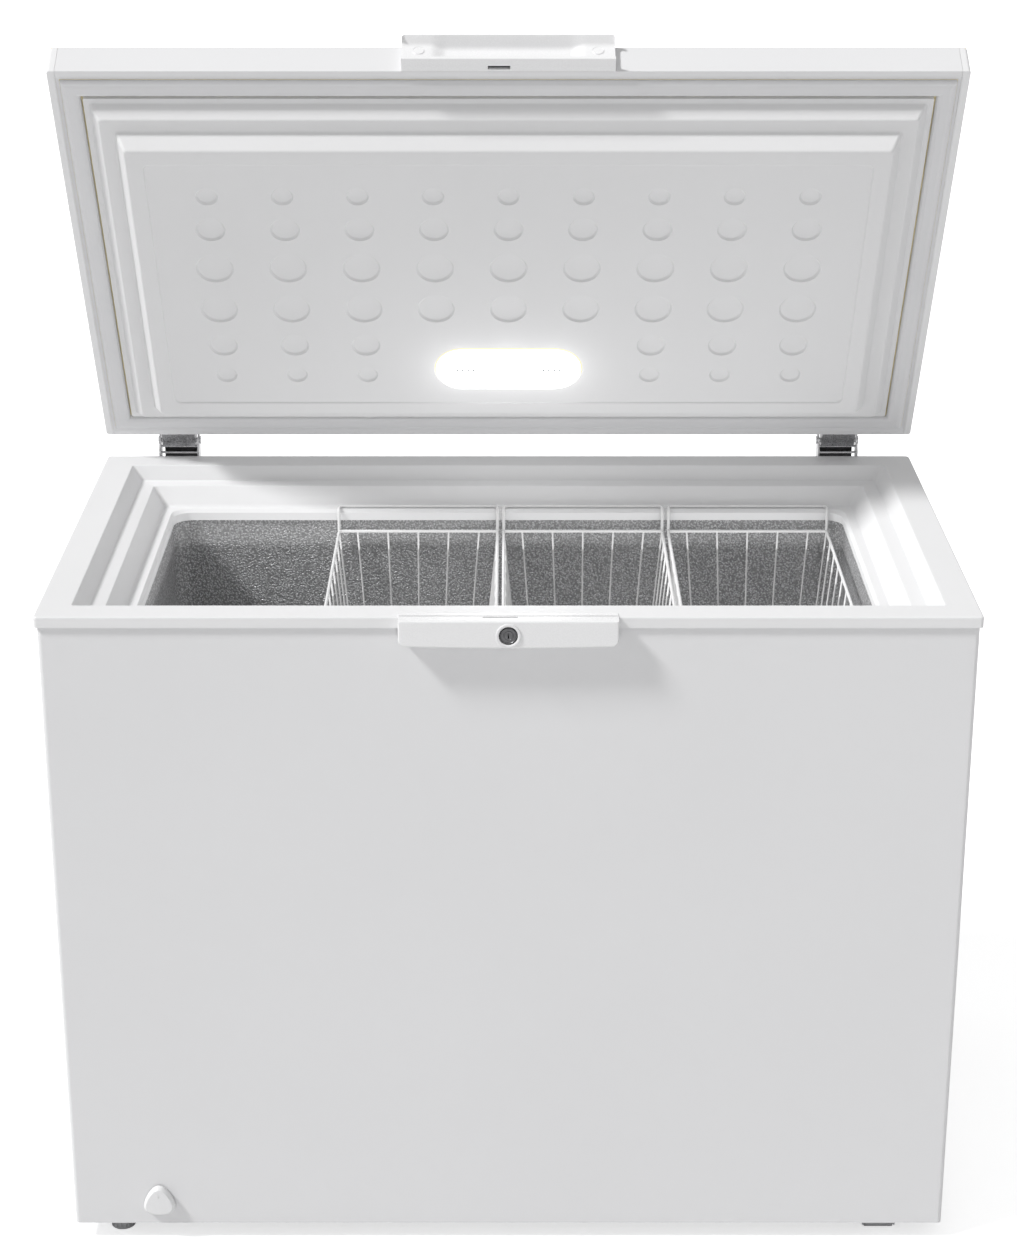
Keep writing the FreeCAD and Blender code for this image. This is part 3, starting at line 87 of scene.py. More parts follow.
def node_points(*names):
    """All vertices of some CAD nodes as one array."""
    return np.array([v.co[:] for name in names for v in frame["nodes"][name].data.vertices])


def shut_box(*names):
    """Lowest and highest corner of lid nodes with the lid shut."""
    points = swing(node_points(*names), -OPEN_ANGLE)
    return points.min(0), points.max(0)


SHELL_LOW, SHELL_HIGH = (np.array(c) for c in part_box("outer_wrapper"))
RIM_LOW, RIM_HIGH = (np.array(c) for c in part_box("rim_collar"))
LID_LOW, LID_HIGH = shut_box("lid_panel", "lid_end_trim_left", "lid_end_trim_right")
LINER_LOW, LINER_HIGH = (np.array(c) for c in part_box("inner_liner"))
RIM_TOP = RIM_HIGH[2]


# ---------------------------------------------------------------- shapes as arrays
def rounded(points, radius, steps=4, closed=False):
    """A line whose corners are replaced by curves.

    Each corner is cut back by radius / tan(half its angle) and bridged by the parabola that is
    tangent to both runs there.
    """
    points = np.array(points, float)
    count = len(points)
    radii = np.broadcast_to(radius, count)
    t = np.linspace(0, 1, steps + 1)[:, None]
    out = []
    for i in range(count):
        here = points[i]
        if not closed and i in (0, count - 1):
            out.append(here[None])
            continue
        back = points[i - 1] - here
        ahead = points[(i + 1) % count] - here
        size_back = np.linalg.norm(back)
        size_ahead = np.linalg.norm(ahead)
        cosine = np.clip(back @ ahead / (size_back * size_ahead), -1, 1)
        half = math.acos(cosine) / 2
        if radii[i] <= 0 or half > 1.56:
            out.append(here[None])
            continue
        reach = min(radii[i] / math.tan(half), 0.48 * size_back, 0.48 * size_ahead)
        start = here + back / size_back * reach
        end = here + ahead / size_ahead * reach
        out.append((1 - t) ** 2 * start + 2 * t * (1 - t) * here + t ** 2 * end)
    return np.concatenate(out)


def loop(x0, x1, y0, y1, r, corner=6, along_x=1, along_y=1):
    """A rounded rectangle, anticlockwise from the middle of its lower left corner.

    Four quarter circles of radius r are joined by straight runs.
    """
    r = max(r, 1e-5)
    quarter = np.linspace(0, math.pi / 2, corner + 1)
    centres = [(x0 + r, y0 + r), (x1 - r, y0 + r), (x1 - r, y1 - r), (x0 + r, y1 - r)]
    arcs = []
    for i, (cx, cy) in enumerate(centres):
        angle = quarter + math.pi * (1 + 0.5 * i)
        arcs.append(np.stack([cx + r * np.cos(angle), cy + r * np.sin(angle)], 1))
    runs = []
    for i, arc in enumerate(arcs):
        count = along_y if i % 2 else along_x
        t = np.linspace(0, 1, count + 1)[1:-1, None]
        runs += [arc, arc[-1] + (arcs[(i + 1) % 4][0] - arc[-1]) * t]
    return np.roll(np.concatenate(runs), -(corner // 2), axis=0)


def grid_faces(rows, columns, wrap_rows=False, wrap_columns=False):
    """The quads of a rows x columns grid of vertices, joined up where it wraps."""
    i = np.arange(rows if wrap_rows else rows - 1)[:, None]
    j = np.arange(columns if wrap_columns else columns - 1)[None, :]
    i2 = (i + 1) % rows
    j2 = (j + 1) % columns
    quads = np.stack([i * columns + j, i * columns + j2, i2 * columns + j2, i2 * columns + j], -1)
    return [tuple(q) for q in quads.reshape(-1, 4).tolist()]


def ring(levels, closed=True, cap_first=False, cap_last=False, **counts):
    """A surface through rounded rectangles, one for each level (x0, x1, y0, y1, z, corner radius)."""
    loops = [loop(*level[:4], level[5], **counts) for level in levels]
    heights = np.array([level[4] for level in levels])
    flat = np.stack(loops)
    z = np.broadcast_to(heights[:, None, None], flat.shape[:2] + (1,))
    grid = np.concatenate([flat, z], -1)
    rows, columns = grid.shape[:2]
    faces = grid_faces(rows, columns, closed, True)
    if cap_first:
        faces.append(tuple(range(columns))[::-1])
    if cap_last:
        faces.append(tuple(range((rows - 1) * columns, rows * columns)))
    return grid.reshape(-1, 3), faces


def tube(path, radius, sides=10, closed=False):
    """A round bar along a line: a circle carried along it at right angles.

    It closes on itself, or has a flat end at either end of the line.
    """
    path = np.array(path, float)
    tangent = np.roll(path, -1, 0) - np.roll(path, 1, 0) if closed else np.gradient(path, axis=0)
    tangent /= np.linalg.norm(tangent, axis=1)[:, None]
    seed = np.array([1.0, 0, 0]) if abs(tangent[0][0]) < 0.9 else np.array([0, 1.0, 0])
    side = np.cross(tangent[0], seed)
    sides_of = []
    for direction in tangent:
        side = side - direction * (side @ direction)
        side = side / np.linalg.norm(side)
        sides_of.append(side)
    u = np.array(sides_of)
    v = np.cross(tangent, u)
    angle = np.linspace(0, 2 * math.pi, sides, endpoint=False)
    offset = u[:, None] * np.cos(angle)[None, :, None] + v[:, None] * np.sin(angle)[None, :, None]
    grid = path[:, None] + radius * offset
    rows = len(path)
    faces = grid_faces(rows, sides, closed, True)
    if not closed:
        faces.append(tuple(range(sides))[::-1])
        faces.append(tuple(range((rows - 1) * sides, rows * sides)))
    return grid.reshape(-1, 3), faces


def lathe(profile, origin, axis, sides=48):
    """A turned shape: (radius, height) points spun about an axis, closed where the radius is nil."""
    profile = np.array(profile, float)
    w = np.array(axis, float)
    u = np.cross(w, [1.0, 0, 0] if abs(w[0]) < 0.9 else [0, 1.0, 0])
    u /= np.linalg.norm(u)
    v = np.cross(w, u)
    angle = np.linspace(0, 2 * math.pi, sides, endpoint=False)
    spoke = u[None] * np.cos(angle)[:, None] + v[None] * np.sin(angle)[:, None]
    grid = np.array(origin) + profile[:, None, :1] * spoke[None] + profile[:, 1][:, None, None] * w
    return grid.reshape(-1, 3), grid_faces(len(profile), sides, False, True)


def joined(shells):
    """Several (vertices, faces) shells as one."""
    vertices = []
    faces = []
    count = 0
    for points, shell_faces in shells:
        vertices.append(np.asarray(points, float).reshape(-1, 3))
        faces += [tuple(i + count for i in face) for face in shell_faces]
        count += len(vertices[-1])
    return np.concatenate(vertices), faces


def mesh_of(name, shell, merge=2e-6):
    """A Blender mesh of a shell, with its doubles merged and its faces turned outwards."""
    mesh = bpy.data.meshes.new(name)
    mesh.from_pydata(shell[0].tolist(), [], shell[1])
    work = bmesh.new()
    work.from_mesh(mesh)
    bmesh.ops.remove_doubles(work, verts=work.verts, dist=merge)
    bmesh.ops.dissolve_degenerate(work, edges=work.edges, dist=merge)
    bmesh.ops.recalc_face_normals(work, faces=work.faces)
    work.to_mesh(mesh)
    work.free()
    mesh.validate()
    return mesh


def piece(name, shell, body, slot, stands_for=(), smooth=38, bevel=0.0, open_towards=None, wall=0.0):
    """One visible piece that rides on a body and takes a slot's finish.

    An open sheet says which way its outside looks with open_towards.
    """
    mesh = mesh_of(name, shell)
    if open_towards is not None:
        normals = np.array([p.normal[:] for p in mesh.polygons])
        areas = np.array([p.area for p in mesh.polygons])
        if (normals * areas[:, None]).sum(0) @ np.array(open_towards) < 0:
            mesh.flip_normals()
    obj = bpy.data.objects.new(name, mesh)
    bpy.context.scene.collection.objects.link(obj)
    mesh.materials.append(FINISH[slot])
    if wall:
        thick = obj.modifiers.new("wall", "SOLIDIFY")
        thick.thickness = wall
    shade(obj, smooth, bevel)
    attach(obj, body)
    if stands_for:
        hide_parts(*stands_for)
    return obj


def shade(obj, smooth, bevel=0.0):
    """Smooth shading that breaks at sharp edges, and keeps flat faces flat."""
    obj.data.polygons.foreach_set("use_smooth", [True] * len(obj.data.polygons))
    obj.data.set_sharp_from_angle(angle=math.radians(smooth))
    if bevel:
        rounder = obj.modifiers.new("edges", "BEVEL")
        rounder.width = bevel
        rounder.segments = 2
        rounder.limit_method = "ANGLE"
        rounder.angle_limit = math.radians(30)
        rounder.harden_normals = False
    weighted = obj.modifiers.new("normals", "WEIGHTED_NORMAL")
    weighted.keep_sharp = True


# ---------------------------------------------------------------- finishes
def socket(tree, kind, name, in_out, value=None):
    made = tree.interface.new_socket(name=name, in_out=in_out, socket_type=kind)
    if value is not None:
        made.default_value = value
    return made


def group_tree(name, inputs, outputs):
    """An empty shader group with named inputs and outputs."""
    tree = bpy.data.node_groups.new(name, "ShaderNodeTree")
    for label, kind, value in inputs:
        socket(tree, kind, label, "INPUT", value)
    for label, kind in outputs:
        socket(tree, kind, label, "OUTPUT")
    return tree, tree.nodes.new("NodeGroupInput"), tree.nodes.new("NodeGroupOutput")


def noise(tree, vector, scale, detail=3.0):
    node = tree.nodes.new("ShaderNodeTexNoise")
    node.inputs["Detail"].default_value = detail
    tree.links.new(vector, node.inputs["Vector"])
    if hasattr(scale, "is_linked"):
        tree.links.new(scale, node.inputs["Scale"])
    else:
        node.inputs["Scale"].default_value = scale
    return node.outputs["Fac"]


def ramp(tree, value, low, high, out_low, out_high):
    """The value taken from low..high to out_low..out_high; ends may be sockets."""
    node = tree.nodes.new("ShaderNodeMapRange")
    tree.links.new(value, node.inputs["Value"])
    for label, item in (("From Min", low), ("From Max", high), ("To Min", out_low), ("To Max", out_high)):
        if hasattr(item, "is_linked"):
            tree.links.new(item, node.inputs[label])
        else:
            node.inputs[label].default_value = item
    return node.outputs["Result"]


def blend_colours(tree, factor, first, second):
    node = tree.nodes.new("ShaderNodeMix")
    node.data_type = "RGBA"
    tree.links.new(factor, node.inputs["Factor"])
    for index, item in ((6, first), (7, second)):
        if hasattr(item, "is_linked"):
            tree.links.new(item, node.inputs[index])
        else:
            node.inputs[index].default_value = (*item, 1)
    return node.outputs[2]


COLOUR, NUMBER, VECTOR = "NodeSocketColor", "NodeSocketFloat", "NodeSocketVector"


def drift_group():
    """Slow change of tone and gloss over a surface, with a fine grain as height."""
    tree, entry, out = group_tree(
        "tone_drift",
        [("Vector", VECTOR, None), ("Light tone", COLOUR, None), ("Dark tone", COLOUR, None),
         ("Drift scale", NUMBER, 3.0), ("Grain scale", NUMBER, 900.0),
         ("Gloss low", NUMBER, 0.3), ("Gloss high", NUMBER, 0.4)],
        [("Color", COLOUR), ("Roughness", NUMBER), ("Height", NUMBER)])
    slow = noise(tree, entry.outputs["Vector"], entry.outputs["Drift scale"], 2.0)
    fine = noise(tree, entry.outputs["Vector"], entry.outputs["Grain scale"], 2.0)
    spread = ramp(tree, slow, 0.3, 0.7, 0.0, 1.0)
    tree.links.new(blend_colours(tree, spread, entry.outputs["Light tone"], entry.outputs["Dark tone"]),
                   out.inputs["Color"])
    tree.links.new(ramp(tree, fine, 0.3, 0.7, entry.outputs["Gloss low"], entry.outputs["Gloss high"]),
                   out.inputs["Roughness"])
    tree.links.new(fine, out.inputs["Height"])
    return tree


DRIFT = drift_group()


def new_material(name):
    material = bpy.data.materials.new(name)
    material.use_nodes = True
    tree = material.node_tree
    shader = tree.nodes["Principled BSDF"]
    place = tree.nodes.new("ShaderNodeTexCoord").outputs["Object"]
    return material, tree, shader, place


def bump(tree, shader, height, strength, distance):
    node = tree.nodes.new("ShaderNodeBump")
    node.inputs["Strength"].default_value = strength
    node.inputs["Distance"].default_value = distance
    tree.links.new(height, node.inputs["Height"])
    tree.links.new(node.outputs["Normal"], shader.inputs["Normal"])


def finish(name, colour, roughness, contrast=0.03, drift=3.0, grain=700.0, depth=0.00004, strength=0.25,
           stretch=None, metallic=0.0, coat=0.0, specular=None, gloss_spread=0.12):
    """A finish with slow tone drift and a fine grain; stretch squeezes the grain along an axis."""
    material, tree, shader, place = new_material(name)
    if stretch:
        squeeze = tree.nodes.new("ShaderNodeMapping")
        squeeze.inputs["Scale"].default_value = stretch
        tree.links.new(place, squeeze.inputs["Vector"])
        place = squeeze.outputs["Vector"]
    group = tree.nodes.new("ShaderNodeGroup")
    group.node_tree = DRIFT
    light = [min(1.0, c * (1 + contrast)) for c in colour]
    dark = [c * (1 - contrast) for c in colour]
    tree.links.new(place, group.inputs["Vector"])
    group.inputs["Light tone"].default_value = (*light, 1)
    group.inputs["Dark tone"].default_value = (*dark, 1)
    group.inputs["Drift scale"].default_value = drift
    group.inputs["Grain scale"].default_value = grain
    group.inputs["Gloss low"].default_value = roughness * (1 - gloss_spread)
    group.inputs["Gloss high"].default_value = roughness * (1 + gloss_spread)
    tree.links.new(group.outputs["Color"], shader.inputs["Base Color"])
    tree.links.new(group.outputs["Roughness"], shader.inputs["Roughness"])
    shader.inputs["Metallic"].default_value = metallic
    shader.inputs["Coat Weight"].default_value = coat
    if specular is not None:
        shader.inputs["Specular IOR Level"].default_value = specular
    bump(tree, shader, group.outputs["Height"], strength, depth)
    return material


def stucco():
    """Embossed aluminium sheet: small irregular raised pebbles whose crowns are coloured pale, a painted highlight.
    """
    material, tree, shader, place = new_material("embossed_aluminium")
    cells = tree.nodes.new("ShaderNodeTexVoronoi")
    cells.feature = "SMOOTH_F1"
    cells.inputs["Scale"].default_value = STUCCO_SCALE
    cells.inputs["Smoothness"].default_value = 0.6
    warp = tree.nodes.new("ShaderNodeVectorMath")
    warp.operation = "MULTIPLY_ADD"
    wobble = tree.nodes.new("ShaderNodeTexNoise")
    wobble.inputs["Scale"].default_value = STUCCO_SCALE * 0.6
    tree.links.new(place, wobble.inputs["Vector"])
    tree.links.new(wobble.outputs["Color"], warp.inputs[0])
    warp.inputs[1].default_value = (0.004, 0.004, 0.004)
    tree.links.new(place, warp.inputs[2])
    tree.links.new(warp.outputs["Vector"], cells.inputs["Vector"])
    crown = ramp(tree, cells.outputs["Distance"], 0.15, 0.6, 1.0, 0.0)
    slow = noise(tree, place, 5.0, 2.0)
    base = blend_colours(tree, ramp(tree, slow, 0.3, 0.7, 0.0, 1.0), STUCCO_DARK, STUCCO_TONE)
    # Crowns mixed towards a pale colour: a painted highlight.
    tree.links.new(blend_colours(tree, crown, base, STUCCO_PAINTED_HIGHLIGHT), shader.inputs["Base Color"])
    shader.inputs["Metallic"].default_value = 0.6
    tree.links.new(ramp(tree, crown, 0.0, 1.0, 0.55, 0.34), shader.inputs["Roughness"])
    bump(tree, shader, crown, 1.0, STUCCO_DEPTH)
    return material


STUCCO_SCALE = 420.0
STUCCO_DEPTH = 0.0007
STUCCO_DARK = (0.36, 0.36, 0.365)
STUCCO_TONE = (0.43, 0.43, 0.435)
# Pale colour of the pebble crowns: a painted highlight.
STUCCO_PAINTED_HIGHLIGHT = (0.82, 0.82, 0.83)

WHITE = (0.80, 0.80, 0.805)


def lamp_finish():
    """Opal diffuser that glows evenly, a shade brighter than white."""
    material, tree, shader, place = new_material("opal_diffuser")
    slow = noise(tree, place, 30.0, 1.0)
    glow = blend_colours(tree, slow, (1.0, 1.0, 1.0), (0.97, 0.985, 1.0))
    tree.links.new(glow, shader.inputs["Emission Color"])
    shader.inputs["Emission Strength"].default_value = 1.6
    shader.inputs["Base Color"].default_value = (0.9, 0.9, 0.9, 1)
    tree.links.new(ramp(tree, slow, 0.3, 0.7, 0.35, 0.45), shader.inputs["Roughness"])
    return material


FINISH = {
    "shell_paint": finish("white_enamel", (0.76, 0.76, 0.768), 0.33, 0.012, 2.0, 260.0, 0.00003, 0.2),
    "galvanised": finish("zinc_sheet", (0.55, 0.56, 0.57), 0.42, 0.10, 40.0, 300.0, 0.00003, 0.2, metallic=0.9),
    "white_plastic": finish("satin_white_plastic", WHITE, 0.38, 0.012, 3.0, 900.0),
    "lid_liner_plastic": finish("formed_white_plastic", (0.74, 0.74, 0.745), 0.42, 0.012, 3.0, 800.0),
    "handle_plastic": finish("smooth_white_plastic", (0.84, 0.84, 0.845), 0.27, 0.01, 4.0, 1200.0, 0.00002),
    "stucco_aluminium": stucco(),
    "foam": finish("yellow_foam", (0.80, 0.70, 0.42), 0.85, 0.12, 25.0, 420.0, 0.0008, 0.9),
    "gasket_rubber": finish("soft_white_vinyl", (0.70, 0.70, 0.71), 0.5, 0.02, 5.0, 600.0),
    "black_rubber": finish("black_rubber", (0.035, 0.035, 0.036), 0.62, 0.15, 60.0, 900.0),
    "zinc_bright": finish("bright_zinc", (0.72, 0.72, 0.73), 0.2, 0.06, 120.0, 900.0, metallic=1.0),
    "hinge_dark": finish("plated_steel", (0.42, 0.42, 0.43), 0.28, 0.12, 90.0, 700.0, metallic=1.0),
    "compressor_black": finish("black_enamel", (0.018, 0.018, 0.019), 0.25, 0.2, 14.0, 260.0, 0.0001, 0.4, coat=0.4),
    "copper": finish("drawn_copper", (0.72, 0.36, 0.22), 0.3, 0.22, 45.0, 500.0, metallic=1.0),
    "grey_plastic": finish("grey_plastic", (0.42, 0.42, 0.43), 0.42, 0.05, 30.0, 900.0),
    "black_plastic": finish("black_plastic", (0.03, 0.03, 0.031), 0.4, 0.12, 40.0, 900.0),
    "wire_coating": finish("coated_wire", (0.80, 0.80, 0.80), 0.25, 0.015, 40.0, 500.0),
    "lamp_diffuser": lamp_finish(),
    "circuit_board": finish("white_board", (0.78, 0.80, 0.78), 0.35, 0.04, 60.0, 900.0),
    "lock_steel": finish("nickel_core", (0.17, 0.17, 0.175), 0.38, 0.12, 200.0, 900.0, metallic=1.0),
}


# ---------------------------------------------------------------- cabinet
RIM_EDGE = 0.0016
RIM_FACE = 0.0124
RIM_WALL = 0.002
RIM_OVERHANG = SHELL_LOW[0] - RIM_LOW[0]
RIM_WIDE_BACK = 0.004
RIM_LINE = [(0.036, 0.0), (0.048, 0.0175), (0.0645, 0.019), (0.0775, 0.0395), (0.0795, 0.041),
            (0.090, 0.041), (0.0935, 0.0445), (0.0935, 0.054)]
RIM_CORNERS = [0.003, 0.005, 0.005, 0.007, 0.008, 0.018, 0.0215, 0.0215]


def rim_levels(line, corners):
    """Rounded rectangles through (inset, drop) points; the flange is wider along the back."""
    levels = []
    for (inset, drop), corner in zip(line, corners):
        wide = RIM_WIDE_BACK * max(0.0, 1 - abs(inset - 0.036) / 0.006) if drop < 0.003 else 0.0
        wide = RIM_WIDE_BACK if drop >= 0.0 and 0.030 < inset < 0.0375 else wide
        levels.append((RIM_LOW[0] + inset, RIM_HIGH[0] - inset, RIM_LOW[1] + inset,
                       RIM_HIGH[1] - inset - wide, RIM_TOP - drop, corner))
    return levels


def rim_collar():
    """Moulded collar: its section, a flange, two shelves and a lip, carried round the mouth.

    The section's corners are small curves; its underside is the same line one wall lower.
    """
    upper = [(0.0, RIM_FACE), (0.0, 0.0)] + RIM_LINE
    radii = [0, 0.0022, 0.002, 0.0025, 0.002, 0.002, 0.0015, 0.0015, 0.001, 0]
    top = rounded(upper, radii, 4)
    turn = np.gradient(top, axis=0)
    turn /= np.linalg.norm(turn, axis=1)[:, None]
    under = top[::-1] + RIM_WALL * np.stack([-turn[:, 1], turn[:, 0]], 1)[::-1] * np.array([1, 1])
    under[:, 0] = np.clip(under[:, 0], RIM_OVERHANG * 0.7, None)
    under[:, 1] = np.minimum(under[:, 1], 0.054)
    corner_at = np.interp(top[:, 0], [0.0] + [p[0] for p in RIM_LINE[:-1]], [0.004] + RIM_CORNERS[:-1])
    line = np.concatenate([top, under])
    corners = np.concatenate([corner_at, corner_at[::-1]])
    piece("rim_collar_moulding", ring(rim_levels(line, corners)), "cabinet", "white_plastic", ["rim_collar"])


rim_collar()


# ---------------------------------------------------------------- lid, laid out shut and then swung open
LIP = LID_LOW[2]
LID_TOP = LID_HIGH[2]
LID_X = LID_HIGH[0]
LID_Y0, LID_Y1 = LID_LOW[1], LID_HIGH[1]
LID_MIDDLE = (LID_Y0 + LID_Y1) / 2
FACE_OUT = tuple(swing(HINGE + np.array([0.0, 0.0, -1.0])) - HINGE)
TRIM_WIDTH = 0.009
TRIM_SEAM = 0.00015


def lid_levels(line, corners):
    """Rounded rectangles through (inset, height over the lip) points of the shut lid."""
    return [(a - LID_X, LID_X - a, LID_Y0 + a, LID_Y1 - a, LIP + z, r) for (a, z), r in zip(line, corners)]


def lid_piece(name, shell, slot, stands_for=(), **more):
    return piece(name, (swing(shell[0]), shell[1]), "lid", slot, stands_for, **more)


def slice_x(shell, low, high):
    """The part of a closed shell between two upright planes, closed again where it was cut."""
    work = bmesh.new()
    work.from_mesh(mesh_of("slice", shell))
    for place, side in ((low, -1), (high, 1)):
        everything = work.verts[:] + work.edges[:] + work.faces[:]
        cut = bmesh.ops.bisect_plane(work, geom=everything, plane_co=(place, 0, 0), plane_no=(side, 0, 0),
                                     clear_outer=True)
        edges = [e for e in cut["geom_cut"] if isinstance(e, bmesh.types.BMEdge)]
        if edges:
            bmesh.ops.triangle_fill(work, edges=edges, use_beauty=True)
    work.verts.index_update()
    points = np.array([v.co[:] for v in work.verts])
    faces = [tuple(v.index for v in f.verts) for f in work.faces]
    work.free()
    return points, faces


def lid_skin():
    """Lid skin: top, rolled edge, skirt, lip and sloping band carried round the lid, cut in three.

    The outer line goes from the top to the gasket and the inner one comes back a sheet inside it.
    """
    height = LID_TOP - LIP
    sheet = 0.0014
    outer = rounded([(0.030, height), (0.0, height), (0.0, 0.0), (0.007, 0.0), (0.0125, 0.002),
                     (0.0150, 0.0024)], [0, 0.005, 0.0012, 0.001, 0.0006, 0.0], 5)
    inner = rounded([(0.0150, 0.0024 + sheet), (0.0075, sheet), (sheet, sheet), (sheet, height - sheet),
                     (0.030, height - sheet)], [0, 0.0005, 0.001, 0.004, 0], 4)
    line = np.concatenate([outer, inner])
    shell = ring(lid_levels(line, np.maximum(0.0035 - 0.3 * line[:, 0], 0.0008)), closed=False,
                 cap_first=True, cap_last=True, corner=4)
    seam = LID_X - TRIM_WIDTH
    lid_piece("lid_skin", slice_x(shell, -seam + TRIM_SEAM, seam - TRIM_SEAM), "shell_paint", ["lid_panel"])
    lid_piece("lid_trim_left", slice_x(shell, -1, -seam - TRIM_SEAM), "white_plastic", ["lid_end_trim_left"])
    lid_piece("lid_trim_right", slice_x(shell, seam + TRIM_SEAM, 1), "white_plastic", ["lid_end_trim_right"])


def lid_gasket():
    """Soft seal: a low bellows section with two dark creases, carried round with mitred corners."""
    line = rounded([(0.0130, 0.0022), (0.0132, -0.0008), (0.0165, -0.0038), (0.0205, -0.0047),
                    (0.0280, -0.0046), (0.0318, -0.0034), (0.0336, -0.0008), (0.0337, 0.0022)],
                   [0, 0.001, 0.003, 0.003, 0.003, 0.002, 0.001, 0], 3)
    lid_piece("lid_seal", ring(lid_levels(line, np.full(len(line), 0.0008)), corner=2), "gasket_rubber",
              ["lid_gasket"])


PANEL_HEIGHT = -0.0389
DIMPLE_PITCH = 0.0845
DIMPLE_ROWS = [(0.141, 0.0125), (0.0917, 0.017), (0.0322, 0.02175),
               (-0.0322, 0.02175), (-0.0917, 0.017), (-0.141, 0.0125)]
LAMP_LOW, LAMP_HIGH = shut_box("lamp_lens")
LAMP_MIDDLE = (LAMP_LOW[1] + LAMP_HIGH[1]) / 2


def patch(xs, ys, middle, half_core, radii, heights):
    """A cell of the panel: rings run from its border to a round or long dimple and down its bowl.

    Each border point is drawn straight towards the nearest point of the dimple's middle line, and
    every ring lies at one radius from that line.
    """
    bottom = np.stack([xs, np.full(len(xs), ys[0])], 1)[:-1]
    right = np.stack([np.full(len(ys), xs[-1]), ys], 1)[:-1]
    top = np.stack([xs[::-1], np.full(len(xs), ys[-1])], 1)[:-1]
    left = np.stack([np.full(len(ys), xs[0]), ys[::-1]], 1)[:-1]
    border = np.concatenate([bottom, right, top, left])
    core = np.stack([np.clip(border[:, 0], middle[0] - half_core, middle[0] + half_core),
                     np.full(len(border), middle[1])], 1)
    towards = border - core
    towards /= np.linalg.norm(towards, axis=1)[:, None]
    rings = np.stack([border] + [core + radius * towards for radius in radii])
    z = np.broadcast_to(np.array([0.0] + list(heights))[:, None, None], rings.shape[:2] + (1,))
    grid = np.concatenate([rings, z + LIP + PANEL_HEIGHT], -1)
    return grid.reshape(-1, 3), grid_faces(len(rings), len(border), False, True)


def lid_liner():
    """Formed liner: a stepped border carried round the lid, and a panel of dimpled cells inside it.

    The border's last rounded rectangle is joined to the square edge of the lattice of cells.
    """
    line = rounded([(0.0332, 0.0034), (0.0352, 0.0034), (0.036, -0.003), (0.042, -0.003), (0.0525, -0.0195),
                    (0.0687, -0.0195), (0.0792, -0.0404), (0.0978, -0.0404), (0.0994, -0.0389),
                    (0.1012, -0.0389)], [0, 0.0004, 0.0006, 0.0022, 0.0035, 0.0035, 0.004, 0.0006, 0.0006, 0], 4)
    corners = np.interp(line[:, 0], [0.036, 0.042, 0.0525, 0.0687, 0.0792, 0.098, 0.1012],
                        [0.002, 0.003, 0.004, 0.004, 0.004, 0.008, 0.006])
    x_out = LID_X - 0.1030
    y_out = (LID_Y1 - LID_Y0) / 2 - 0.1030
    cells_x = np.concatenate([[-x_out], DIMPLE_PITCH * np.arange(-3.5, 4), [x_out]])
    cells_y = np.array([-y_out, -0.1165, -0.062, 0.0, 0.062, 0.1165, y_out])
    runs_x = [np.linspace(a, b, 13) for a, b in zip(cells_x[:-1], cells_x[1:])]
    runs_y = [np.linspace(a, b, 13) + LID_MIDDLE for a, b in zip(cells_y[:-1], cells_y[1:])]
    xs = np.concatenate([run[:-1] for run in runs_x] + [[x_out]])
    ys = np.concatenate([run[:-1] for run in runs_y] + [[y_out + LID_MIDDLE]])
    square = np.concatenate([np.stack([xs, np.full(109, ys[0])], 1)[:-1],
                             np.stack([np.full(73, xs[-1]), ys], 1)[:-1],
                             np.stack([xs[::-1], np.full(109, ys[-1])], 1)[:-1],
                             np.stack([np.full(73, xs[0]), ys[::-1]], 1)[:-1]])
    loops = [loop(a, b, c, d, r, corner=8, along_x=100, along_y=64)
             for a, b, c, d, _, r in lid_levels(line, corners)] + [square]
    heights = np.append(line[:, 1], PANEL_HEIGHT) + LIP
    flat = np.stack(loops)
    grid = np.concatenate([flat, np.broadcast_to(heights[:, None, None], flat.shape[:2] + (1,))], -1)
    shells = [(grid.reshape(-1, 3), grid_faces(len(loops), 360, False, True))]
    for i, run_x in enumerate(runs_x):
        for j, run_y in enumerate(runs_y):
            if 3 <= i <= 5 and j >= 4:
                continue
            offset, radius = DIMPLE_ROWS[::-1][j]
            radii = [radius + 0.0014, radius, radius - 0.0005, radius - 0.0021, radius * 0.45, 1e-7]
            shells.append(patch(run_x, run_y, (DIMPLE_PITCH * (i - 4), LID_MIDDLE + offset), 0.0, radii,
                                [0.0, 0.0, 0.0009, 0.0022, 0.0026, 0.0028]))
    lamp_x = np.concatenate([runs_x[3][:-1], runs_x[4][:-1], runs_x[5]])
    lamp_y = np.concatenate([runs_y[4][:-1], runs_y[5]])
    half_width = (LAMP_HIGH[1] - LAMP_LOW[1]) / 2
    half_core = LAMP_HIGH[0] - half_width
    shells.append(patch(lamp_x, lamp_y, (0.0, LAMP_MIDDLE), half_core,
                        [half_width + 0.004, half_width + 0.0018, half_width + 0.0012, half_width + 0.0012],
                        [0.0, 0.0, 0.0006, 0.004]))
    lid_piece("lid_liner_formed", joined(shells), "lid_liner_plastic", ["lid_liner"],
              open_towards=FACE_OUT, wall=0.0012, smooth=30)


